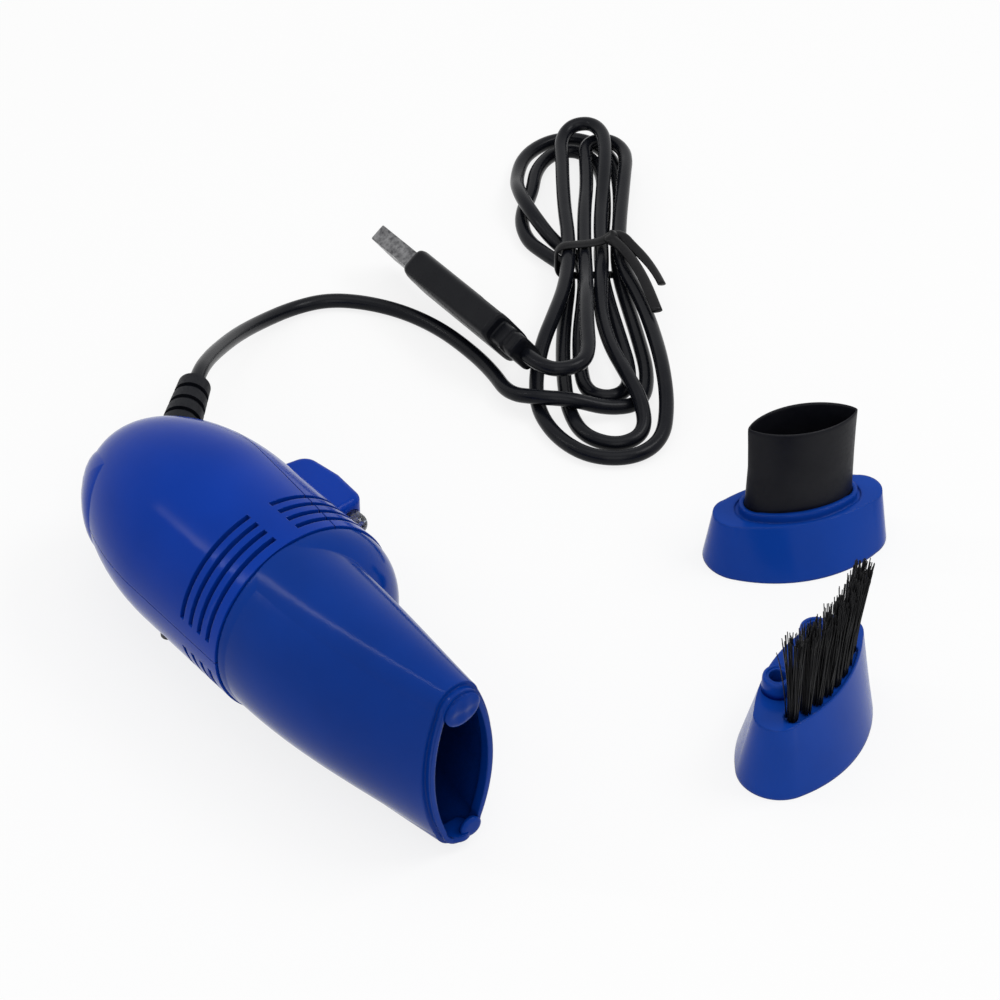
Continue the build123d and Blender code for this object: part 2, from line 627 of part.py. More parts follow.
def nozzle():
    """The nozzle: spigot, bulge and duct, with the lip and two lugs at its mouth."""
    start = NOZZLE_GAP
    end = NOZZLE_LENGTH
    skin = bulge(NOZZLE_RADIUS, BULGE_LENGTH, start)
    skin = skin + duct(0, start, end)
    spigot_radius = BODY_RADIUS - WALL - RUNNING_GAP
    skin = skin + disc(spigot_radius, -SPIGOT_LENGTH, start + 1)
    lip_height = MOUTH_HALF_HEIGHT - LIP_INSET
    lip_width = MOUTH_HALF_WIDTH - LIP_INSET
    mouth_plane = cross_plane(end - 1, MOUTH_OFFSET_Y)
    skin = skin + mouth_plane * extrude(lens(lip_height, lip_width), LIP_LENGTH + 1)
    hollow = bulge(NOZZLE_RADIUS - NOZZLE_WALL, BULGE_LENGTH - NOZZLE_WALL, start + 1)
    hollow = hollow + duct(NOZZLE_WALL, start + 1, end - 0.8)
    hollow = hollow + disc(spigot_radius - 1.4, -SPIGOT_LENGTH - 1, start + 2)
    hollow = hollow + mouth_plane * extrude(lens(lip_height - LIP_WALL, lip_width - LIP_WALL), LIP_LENGTH + 3)
    shell = skin - hollow
    lip_block = mouth_plane * extrude(lens(lip_height - 0.2, lip_width - 0.2), LIP_LENGTH + 1.6)
    lug = disc(LUG_RADIUS, end - 1.5, end + LIP_LENGTH + 0.8, y=MOUTH_OFFSET_Y, z=lip_height - LUG_RADIUS - 0.8)
    shell = shell + (lug & lip_block)
    tongue = Pos(end + LIP_LENGTH - 2, MOUTH_OFFSET_Y, -lip_height + 0.9) * extrude(Circle(TONGUE_LENGTH + 0.6), 1.5)
    tongue_room = Pos(end + LIP_LENGTH, MOUTH_OFFSET_Y, -lip_height) * Box(2 * (TONGUE_LENGTH + 2), 8, 9)
    return shell + (tongue & tongue_room)


def filter_radius():
    return BODY_RADIUS - WALL - RUNNING_GAP - 1.4 - 0.1


def filter_frame():
    """The filter's flange ring with four ribs along its cup."""
    rear = -SPIGOT_LENGTH + 0.2
    ring = disc(filter_radius(), rear, rear + FILTER_FLANGE) - disc(filter_radius() - 3.0, rear - 1, rear + 3)
    nose_x = rear + FILTER_FLANGE + FILTER_DEPTH
    ring = ring + (disc(FILTER_NOSE_RADIUS, nose_x, nose_x + 1) - disc(FILTER_NOSE_RADIUS - 1.5, nose_x - 1, nose_x + 2))
    wide = filter_radius() - 3.0
    for turn in (45, 135, 225, 315):
        rib = make_face(Polyline((rear + 0.5, wide - 0.2), (rear + 0.5, wide + 1.0), (nose_x + 0.8, FILTER_NOSE_RADIUS - 0.2),
                                 (nose_x + 0.8, FILTER_NOSE_RADIUS - 1.2), close=True))
        ring = ring + Rot(turn, 0, 0) * (Pos(0, 0, -0.6) * extrude(rib, 1.2))
    return ring - filter_cup(0)


def filter_cup(inset):
    """The filter's cup as a solid block, or its hollow when it is set in by the cloth's thickness."""
    rear = -SPIGOT_LENGTH + 0.2 + FILTER_FLANGE
    nose_x = rear + FILTER_DEPTH
    wide = filter_radius() - 3.0 - inset
    narrow = FILTER_NOSE_RADIUS - 1.5 - inset
    front = nose_x + FILTER_THICKNESS - inset
    corners = [(rear - inset, 0), (rear - inset, wide), (nose_x, narrow)]
    if inset < FILTER_THICKNESS:
        corners.append((front, narrow))
    outline = make_face(Polyline(*corners, (front, 0), close=True))
    return revolve(outline, axis=Axis.X, revolution_arc=360)


def filter_mesh():
    """The fine cloth cup inside the frame."""
    return filter_cup(0) - filter_cup(FILTER_THICKNESS)


# Loose heads, made at their own centre with the length along Y

def seat_head(piece, place, turn):
    return Pos(place[0], place[1], -AXIS_Z) * Rot(0, 0, turn - 90) * piece


def head_shell(height):
    """The tapered hollow base that both heads share, open below."""
    outer = lens_taper((BASE_HALF_LENGTH, BASE_HALF_WIDTH), (TOP_HALF_LENGTH, TOP_HALF_WIDTH), 0, height)
    share = (height - HEAD_WALL) / height
    inner_top = (BASE_HALF_LENGTH + (TOP_HALF_LENGTH - BASE_HALF_LENGTH) * share - HEAD_WALL,
                 BASE_HALF_WIDTH + (TOP_HALF_WIDTH - BASE_HALF_WIDTH) * share - HEAD_WALL)
    inner = lens_taper((BASE_HALF_LENGTH - HEAD_WALL, BASE_HALF_WIDTH - HEAD_WALL), inner_top, 0, height - HEAD_WALL)
    return outer - inner


def adaptor_base():
    """The blue foot of the flat tube, with the raised sleeve that holds it."""
    top = ADAPTOR_HEIGHT
    base = head_shell(top)
    groove = lens_prism(TUBE_HALF_LENGTH + SLEEVE_WALL + 1.0, TUBE_HALF_WIDTH + SLEEVE_WALL + 0.8, top - 0.5, top + 1)
    base = base - groove
    sleeve = (TUBE_HALF_LENGTH + SLEEVE_WALL, TUBE_HALF_WIDTH + SLEEVE_WALL)
    base = base + lens_prism(*sleeve, SLEEVE_FOOT, top + SLEEVE_RISE)
    base = base - tube_block(TUBE_FIT)
    return base - lens_prism(TUBE_HALF_LENGTH - TUBE_WALL, TUBE_HALF_WIDTH - TUBE_WALL, SLEEVE_FOOT - 1, SLEEVE_FOOT + 2)


def tube_block(grow):
    """The flat tube as a solid block, grown all round or, when negative, shrunk to its hollow."""
    low = (TUBE_HALF_LENGTH + grow, TUBE_HALF_WIDTH + grow)
    high = (TUBE_TOP_HALF_LENGTH + grow, TUBE_HALF_WIDTH + grow)
    return lens_taper(low, high, SLEEVE_FOOT + 1.0, TUBE_TOP)


def crevice_tube():
    """The soft flat tube, open from end to end."""
    return tube_block(0) - tube_block(-TUBE_WALL)


def tuft_spot(number):
    """Centre of one tuft on the brush's top, following its long side."""
    along = TUFT_FIRST + (TUFT_LAST - TUFT_FIRST) * number / (TUFTS - 1)
    side = TOP_HALF_WIDTH * (1 - 0.75 * (along / TOP_HALF_LENGTH) ** 2)
    return Vector(side - TUFT_INSET, along, 0)


def strip_arc():
    return ThreePointArc(tuft_spot(0), tuft_spot((TUFTS - 1) // 2), tuft_spot(TUFTS - 1))


def brush_base():
    """The brush's blue foot, with two air posts and a groove for the bristle strip."""
    top = BRUSH_HEIGHT
    base = head_shell(top)
    posts = []
    for along, across in AIR_POSTS:
        post = Pos(across, along, top - 1) * extrude(Circle(AIR_POST_RADIUS), AIR_POST_HEIGHT + 1)
        flat = Pos(across + AIR_POST_RADIUS + 0.6, along, top + AIR_POST_HEIGHT / 2) * Box(3, 2 * AIR_POST_RADIUS, AIR_POST_HEIGHT)
        posts.append(post - flat)
    for post in posts:
        base = base + post
    for along, across in AIR_POSTS:
        hole = Pos(across - 0.3, along, top - HEAD_WALL - 1) * extrude(Circle(AIR_POST_HOLE), AIR_POST_HEIGHT + HEAD_WALL + 2)
        base = base - hole
    groove = Pos(0, 0, top - STRIP_DEPTH) * extrude(SlotArc(strip_arc(), STRIP_WIDTH + 0.1), STRIP_DEPTH + 1)
    return base - groove


def brush_bristles():
    """Eight tufts of fanned strands, fused to the strip that holds them."""
    top = BRUSH_HEIGHT
    strip = Pos(0, 0, top - STRIP_DEPTH) * extrude(SlotArc(strip_arc(), STRIP_WIDTH), STRIP_DEPTH)
    golden = math.radians(137.508)
    strands = []
    for tuft in range(TUFTS):
        centre = tuft_spot(tuft)
        lean = Vector(0.6, 1.2, 0)
        for strand in range(STRANDS):
            reach = TUFT_RADIUS * math.sqrt((strand + 0.5) / STRANDS)
            offset = Vector(math.cos(golden * strand) * reach, math.sin(golden * strand) * reach, 0)
            uneven = math.sin(12.9898 * (strand + 1) + 4.1 * tuft)
            length = BRISTLE_LENGTH + 1.4 * uneven
            foot = centre + offset + Vector(0, 0, top - STRIP_DEPTH / 2)
            rise = (lean + offset * (BRISTLE_FAN - 1)) * (length / BRISTLE_LENGTH) + Vector(0, 0, length + STRIP_DEPTH / 2)
            corners = [foot + Vector(math.cos(turn) * STRAND_RADIUS, math.sin(turn) * STRAND_RADIUS, 0)
                       for turn in (0, 2 * math.pi / 3, 4 * math.pi / 3)]
            strands.append(Solid.extrude(Face(Wire.make_polygon(corners)), rise))
    return Part(strip.solid().fuse(*strands).wrapped)


# Cable, hank, tie and plug

def hank_point(across, along, z):
    """A place in the hank: across it to the right, along it from the waist, and its height over the table."""
    turn = math.radians(HANK_TURN)
    x = WAIST[0] + along * math.cos(turn) + across * math.sin(turn)
    y = WAIST[1] + along * math.sin(turn) - across * math.cos(turn)
    return (x, y, z - AXIS_Z)


HANK_STEP = CORD_DIAMETER + HANK_GAP
LOW_Z = HANK_BASE + CORD_DIAMETER / 2
HIGH_Z = LOW_Z + HANK_STEP
OVER_Z = HIGH_Z + HANK_STEP
WAIST_INNER = HANK_STEP / 2
WAIST_OUTER = 1.5 * HANK_STEP
WAIST_STRAIGHT = 5.0
TURN_CENTRE = (-10.9, -45.3)
TURN_RADIUS = 7.5
TURN_SIZE = HANK_TURN + PLUG_TURN
KNEE_FOOT = 0.5
KNEE_RIGHT = 0.3
KNEE_LEFT = 1.0
FOOT_RIGHT = 11.2
FOOT_LEFT = -11.0
ENTRY_ALONG = -55.0
ENTRY_ACROSS = -9.0
HEAD_ALONG = 59.0
HEAD_RIGHT = 8.6
HEAD_LEFT = -16.2


def hank_route():
    """The four loops: two below, spiralling in, then a climb along a run and two above, spiralling out."""
    step = HANK_STEP
    loops = (
        dict(z=LOW_Z, waist=WAIST_OUTER, right=HEAD_RIGHT, left=HEAD_LEFT, head=HEAD_ALONG),
        dict(z=LOW_Z, waist=WAIST_INNER, right=HEAD_RIGHT - step, left=HEAD_LEFT + step, head=HEAD_ALONG - step),
        dict(z=HIGH_Z, waist=WAIST_INNER, right=HEAD_RIGHT - 3.2, left=HEAD_LEFT + 8.2, head=HEAD_ALONG - 6.0),
        dict(z=HIGH_Z, waist=WAIST_OUTER, right=HEAD_RIGHT - 3.2 + step, left=HEAD_LEFT + 8.2 - step, head=HEAD_ALONG - 6.0 + step),
    )
    foot_rights = (FOOT_RIGHT, FOOT_RIGHT - step, FOOT_RIGHT - 3.2, FOOT_RIGHT - 3.2 + step)
    foot_turns = (ENTRY_ALONG, ENTRY_ALONG + step, -71.0, -71.7 - step)
    foot_z = (LOW_Z, LOW_Z, HIGH_Z, HIGH_Z)
    points = [hank_point(ENTRY_ACROSS, ENTRY_ALONG, LOW_Z)]
    for number, loop in enumerate(loops):
        z = loop["z"]
        waist = loop["waist"]
        right = foot_rights[number]
        points.append(hank_point(right, foot_turns[number], foot_z[number]))
        outer = 1 if waist == WAIST_OUTER else 0
        points.append(hank_point(right, -30.0 + KNEE_FOOT * outer, z))
        points.append(hank_point(waist, -WAIST_STRAIGHT + KNEE_FOOT * outer, z))
        points.append(hank_point(waist, WAIST_STRAIGHT - KNEE_RIGHT * outer, z))
        points.append(hank_point(loop["right"], 27.0 - KNEE_RIGHT * outer, z))
        points.append(hank_point(loop["right"], loop["head"], z))
        points.append(hank_point(loop["left"], loop["head"], z))
        points.append(hank_point(loop["left"], 27.0 - KNEE_LEFT * outer, z))
        points.append(hank_point(-waist, WAIST_STRAIGHT - KNEE_LEFT * outer, z))
        points.append(hank_point(-waist, -14.5 if number == 2 else -WAIST_STRAIGHT, z))
        if number == 0:
            points.append(hank_point(FOOT_LEFT, -26.0, z))
            points.append(hank_point(FOOT_LEFT, foot_turns[1], z))
        if number == 1:
            left = FOOT_LEFT + step
            points.append(hank_point(left + 0.8, -24.0, z))
            points.append(hank_point(left, -33.0, z))
            points.append(hank_point(left, -47.0, HIGH_Z))
            points.append(hank_point(left, foot_turns[2], HIGH_Z))
        if number == 2:
            points.append(hank_point(FOOT_LEFT - 3.2, -49.0, z))
            points.append(hank_point(FOOT_LEFT - 3.2, foot_turns[3], z))
    return points


def hank_radii(points):
    """Arcs of the loops: as large as the runs allow, and no more than the lobes' own size."""
    return [min(radius, 24.0) for radius in run_radii(points)]


def free_route():
    """The cable from the strain relief down to the table and round to the hank."""
    foot, out = relief_place()
    tip = foot + out * RELIEF_LENGTH
    lead = tip + out * 5.0
    entry = hank_point(ENTRY_ACROSS, ENTRY_ALONG, LOW_Z)
    points = [tuple(tip), tuple(lead)]
    for x, y, z in FREE_POINTS:
        points.append((x, y, z - AXIS_Z))
    points.append(hank_point(ENTRY_ACROSS - 9.0, ENTRY_ALONG, LOW_Z))
    points.append(entry)
    return points


FREE_POINTS = (
    (-94.6, 42.0, 17.4),
    (-106.4, 57.0, 9.4),
    (-113.4, 71.6, 3.9),
    (-114.6, 83.0, 1.9),
    (-107.6, 93.4, 1.9),
    (-96.0, 101.0, 1.9),
    (-82.0, 103.6, 1.9),
    (-62.0, 102.4, 2.1),
)


def tail_route():
    """The last stretch: up from the waist, over the lower lobe and round a tight turn into the plug."""
    start_across = -WAIST_OUTER
    points = [hank_point(start_across, -WAIST_STRAIGHT, HIGH_Z), hank_point(start_across, -9.0, HIGH_Z),
              hank_point(start_across, -19.5, OVER_Z), hank_point(TURN_CENTRE[0] + TURN_RADIUS, -33.0, OVER_Z)]
    corner = TURN_RADIUS / math.cos(math.radians(TURN_SIZE / 6))
    for part in (1, 3):
        angle = math.radians(-TURN_SIZE * part / 6)
        across = TURN_CENTRE[0] + corner * math.cos(angle)
        points.append(hank_point(across, TURN_CENTRE[1] + corner * math.sin(angle), OVER_Z))
    points.append(plug_point(TURN_RADIUS * math.tan(math.radians(TURN_SIZE / 6)) + CORD_DIAMETER))
    points.append(plug_point(0.0))
    return points


def plug_frame():
    """The plug's own frame: origin at the neck's end, X back along the cable, Z its thin side."""
    drop = Rot(0, 0, -PLUG_TURN) * Rot(0, -PLUG_DROP, 0)
    return Pos(PLUG_NECK[0], PLUG_NECK[1], PLUG_Z - AXIS_Z) * drop * Rot(PLUG_ROLL, 0, 0)


def plug_point(ahead):
    place = plug_frame() * Pos(ahead, 0, 0)
    return tuple(place.position)


def rounded_bar(length, width, height, corner, start):
    """A bar of rounded rectangular section along -X from start."""
    section = Plane(origin=(start, 0, 0), x_dir=(0, 1, 0), z_dir=(-1, 0, 0)) * RectangleRounded(width, height, corner)
    return extrude(section, length)


def plug_overmould():
    """The moulded grip and neck, with a recessed pocket at its rear."""
    grip = rounded_bar(GRIP_LENGTH, GRIP_WIDTH, GRIP_HEIGHT, 1.6, -NECK_LENGTH)
    neck = rounded_bar(NECK_LENGTH + 1, NECK_WIDTH, NECK_HEIGHT, 1.2, 0)
    body = grip + neck
    for side in (-1, 1):
        for number in (0, 1, 2):
            cut = Pos(-NECK_LENGTH - 4.0 - 3.0 * number, side * GRIP_WIDTH / 2, 0) * Box(1.4, 1.6, GRIP_HEIGHT - 2.4)
            body = body - cut
    front = -NECK_LENGTH - GRIP_LENGTH
    hollow = rounded_bar(SHELL_SUNK + 1, SHELL_WIDTH, SHELL_HEIGHT, 0.4, front + SHELL_SUNK)
    return plug_frame() * (body - hollow)


def plug_shell():
    """The folded steel sleeve of the plug."""
    start = -NECK_LENGTH - GRIP_LENGTH + SHELL_SUNK
    sleeve = rounded_bar(SHELL_EXPOSED + SHELL_SUNK, SHELL_WIDTH, SHELL_HEIGHT, 0.4, start)
    inside = rounded_bar(SHELL_EXPOSED + SHELL_SUNK, SHELL_WIDTH - 2 * SHELL_WALL, SHELL_HEIGHT - 2 * SHELL_WALL, 0.1, start - 1)
    sleeve = sleeve - inside
    for side in (-1, 1):
        for across in (-2.3, 2.3):
            window = Pos(start - SHELL_SUNK - 6.5, across, side * SHELL_HEIGHT / 2) * Box(2.4, 2.0, 1.5)
            sleeve = sleeve - window
    return plug_frame() * sleeve


def plug_tongue():
    """The insulating tongue inside the sleeve."""
    start = -NECK_LENGTH - GRIP_LENGTH + SHELL_SUNK - 1
    width = SHELL_WIDTH - 2 * SHELL_WALL - 0.2
    low = -SHELL_HEIGHT / 2 + SHELL_WALL
    length = SHELL_EXPOSED + SHELL_SUNK - 2.2
    return plug_frame() * (Pos(start - length / 2, 0, low + TONGUE_THICKNESS / 2) * Box(length, width, TONGUE_THICKNESS))


def plug_contacts():
    start = -NECK_LENGTH - GRIP_LENGTH + SHELL_SUNK - 4
    low = -SHELL_HEIGHT / 2 + SHELL_WALL + TONGUE_THICKNESS
    strips = []
    for across, length in ((-3.5, 12.6), (-1.0, 11.6), (1.0, 11.6), (3.5, 12.6)):
        strips.append(plug_frame() * (Pos(start - length / 2, across, low + 0.1) * Box(length, 1.0, 0.2)))
    return Part(children=strips)


def ribbon(start, end, sag):
    """A flat strip from one place to the other in a shallow arc, its width level."""
    first = Vector(*start)
    last = Vector(*end)
    level = Vector(last.X - first.X, last.Y - first.Y, 0)
    plane = Plane(origin=first, x_dir=level.normalized(), z_dir=level.normalized().cross(Vector(0, 0, 1)))
    length = level.length
    rise = last.Z - first.Z
    middle = (length / 2, rise / 2 + sag)
    lower = ThreePointArc((0, 0), middle, (length, rise))
    upper = ThreePointArc((0, TIE_THICKNESS), (middle[0], middle[1] + TIE_THICKNESS), (length, rise + TIE_THICKNESS))
    face = make_face([lower, Line((length, rise), (length, rise + TIE_THICKNESS)), upper, Line((0, TIE_THICKNESS), (0, 0))])
    strip = extrude(face, TIE_WIDTH / 2, both=True)
    return plane * strip


def twist_tie():
    """The flat tie round the hank's waist, with its knot and two ends."""
    half_width = WAIST_OUTER + CORD_DIAMETER / 2 + TIE_FIT
    low = LOW_Z - CORD_DIAMETER / 2 - TIE_FIT
    high = HIGH_Z + CORD_DIAMETER / 2 + TIE_FIT
    inside = RectangleRounded(2 * half_width, high - low, 1.6)
    outside = RectangleRounded(2 * (half_width + TIE_THICKNESS), high - low + 2 * TIE_THICKNESS, 1.6 + TIE_THICKNESS)
    turn = math.radians(HANK_TURN)
    across = Vector(math.sin(turn), -math.cos(turn), 0)
    along = Vector(math.cos(turn), math.sin(turn), 0)
    centre = Vector(*hank_point(0, 0, (low + high) / 2)) - along * (TIE_WIDTH / 2)
    band = Plane(origin=centre, x_dir=across, z_dir=along) * extrude(outside - inside, TIE_WIDTH)
    top = high + TIE_THICKNESS
    knot_at = hank_point(4.2, 0, top + 0.7)
    knot = Pos(*knot_at) * Rot(0, 0, HANK_TURN) * Box(4.0, 3.2, 2.2)
    knot = fillet(knot.edges(), 0.7)
    first = ribbon(hank_point(4.6, -0.6, top + 0.3), hank_point(14.5, -22.3, 9.5), 1.6)
    second = ribbon(hank_point(4.4, -1.0, top + 0.2), hank_point(13.1, -35.3, 9.4), 1.6)
    return band + knot + first + second


def least_gap(wire, diameter):
    """The least free space between stretches of one tube, from points along its path."""
    length = wire.length
    step = 1.6
    count = int(length / step)
    spots = [wire.position_at(number / count) for number in range(count + 1)]
    skip = int(3.2 * diameter / step)
    least = 1000.0
    for first in range(len(spots)):
        for second in range(first + skip, len(spots)):
            distance = (spots[first] - spots[second]).length
            least = min(least, distance)
    return least - diameter


def cord_solid(name, points, radii):
    """A cable tube, with its radii, length and volume printed."""
    path = Wire(FilletPolyline(*points, radius=radii).edges())
    solid = tube_along(path.edges(), CORD_DIAMETER / 2)
    wanted = math.pi * CORD_DIAMETER ** 2 / 4 * path.length
    print(name, "length", round(path.length, 1), "volume share", round(solid.volume / wanted, 4))
    print("   radii", [round(radius, 1) for radius in radii])
    return solid, path


def build():
    """All pieces by name, in the making frame."""
    body = housing()
    pieces = {
        "upper_shell": upper_shell(body),
        "lower_shell": lower_shell(body),
        "top_cover": top_cover(body),
        "tail_cap": tail_cap(),
        "strain_relief": strain_relief(),
        "lamp_led": lamp_led(),
        "switch_slider": switch_slider(),
        "switch_body": switch_body(),
        "fan_shroud": fan_shroud(),
        "shroud_screws": shroud_screws(),
        "motor_mount": motor_mount(),
        "motor_screws": motor_screws(),
        "motor_can": motor_can(),
        "motor_endcap": motor_endcap(),
        "motor_terminals": motor_terminals(),
        "motor_shaft": motor_shaft(),
        "fan_impeller": fan_impeller(),
        "housing_screws": housing_screws(),
        "lead_wires": lead_wires(),
        "nozzle": nozzle(),
        "filter_frame": filter_frame(),
        "filter_mesh": filter_mesh(),
        "adaptor_base": seat_head(adaptor_base(), ADAPTOR_PLACE, ADAPTOR_TURN),
        "crevice_tube": seat_head(crevice_tube(), ADAPTOR_PLACE, ADAPTOR_TURN),
        "brush_base": seat_head(brush_base(), BRUSH_PLACE, BRUSH_TURN),
        "brush_bristles": seat_head(brush_bristles(), BRUSH_PLACE, BRUSH_TURN),
        "plug_overmould": plug_overmould(),
        "plug_shell": plug_shell(),
        "plug_tongue": plug_tongue(),
        "plug_contacts": plug_contacts(),
        "twist_tie": twist_tie(),
    }
    free = free_route()
    pieces["cord_free"], _ = cord_solid("cord_free", free, run_radii(free))
    hank = hank_route()
    pieces["cord_hank"], hank_path = cord_solid("cord_hank", hank, hank_radii(hank))
    print("hank least gap", round(least_gap(hank_path, CORD_DIAMETER), 2))
    tail = tail_route()
    pieces["cord_tail"], _ = cord_solid("cord_tail", tail, run_radii(tail))
    return pieces


ON_THE_CORD = ("cord_free", "cord_hank", "cord_tail", "plug_overmould", "plug_shell", "plug_tongue", "plug_contacts", "twist_tie")


def main():
    pieces = build()
    boxes = [piece.bounding_box() for name, piece in pieces.items() if name not in ON_THE_CORD]
    low_x = min(box.min.X for box in boxes)
    high_x = max(box.max.X for box in boxes)
    low_y = min(box.min.Y for box in boxes)
    high_y = max(box.max.Y for box in boxes)
    shift = Pos(-(low_x + high_x) / 2, -(low_y + high_y) / 2, AXIS_Z)
    print("origin shift", [round(value, 4) for value in tuple(shift.position)])
    for name, piece in pieces.items():
        export_step(shift * piece, f"parts/{name}.step")


main()
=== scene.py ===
"""A small blue hand vacuum on its side, with its cable in a tied hank and two loose heads."""

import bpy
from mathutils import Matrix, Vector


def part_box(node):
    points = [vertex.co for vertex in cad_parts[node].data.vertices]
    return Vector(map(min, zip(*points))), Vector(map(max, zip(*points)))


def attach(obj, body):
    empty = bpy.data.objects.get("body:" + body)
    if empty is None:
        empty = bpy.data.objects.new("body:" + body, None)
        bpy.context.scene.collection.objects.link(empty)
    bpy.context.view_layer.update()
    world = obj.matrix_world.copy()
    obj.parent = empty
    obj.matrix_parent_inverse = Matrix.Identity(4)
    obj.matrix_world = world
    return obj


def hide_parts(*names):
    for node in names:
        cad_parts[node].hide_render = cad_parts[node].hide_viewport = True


bl_info = {
    "name": "Desk vacuum",
    "version": (1, 0, 0),
    "blender": (4, 5, 0),
    "location": "3D View > Sidebar > Desk vacuum",
    "description": "Dresses a small corded vacuum, its cable, plug and loose heads",
    "category": "Object",
}

import math

import bpy
import numpy as np
from bpy.props import FloatProperty, FloatVectorProperty, IntProperty, PointerProperty
from mathutils import Vector

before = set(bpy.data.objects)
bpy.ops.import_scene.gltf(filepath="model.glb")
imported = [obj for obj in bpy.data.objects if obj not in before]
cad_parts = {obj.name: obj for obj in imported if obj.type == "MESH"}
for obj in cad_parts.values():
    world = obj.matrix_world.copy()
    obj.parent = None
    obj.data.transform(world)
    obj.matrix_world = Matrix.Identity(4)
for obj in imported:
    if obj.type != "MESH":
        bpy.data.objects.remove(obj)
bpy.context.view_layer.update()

# The front rim of the housing: X = 0 there, Y = 0 on the body's axis, Z = 0 on the table.
# The nozzle's collar reaches back over the rim by this much.
NOZZLE_OVERLAP = 0.0022
RIM_LOW, RIM_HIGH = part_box("nozzle")
RIM_X = RIM_LOW.x + NOZZLE_OVERLAP
AXIS_Y = (RIM_LOW.y + RIM_HIGH.y) / 2
AXIS_Z = 0.023

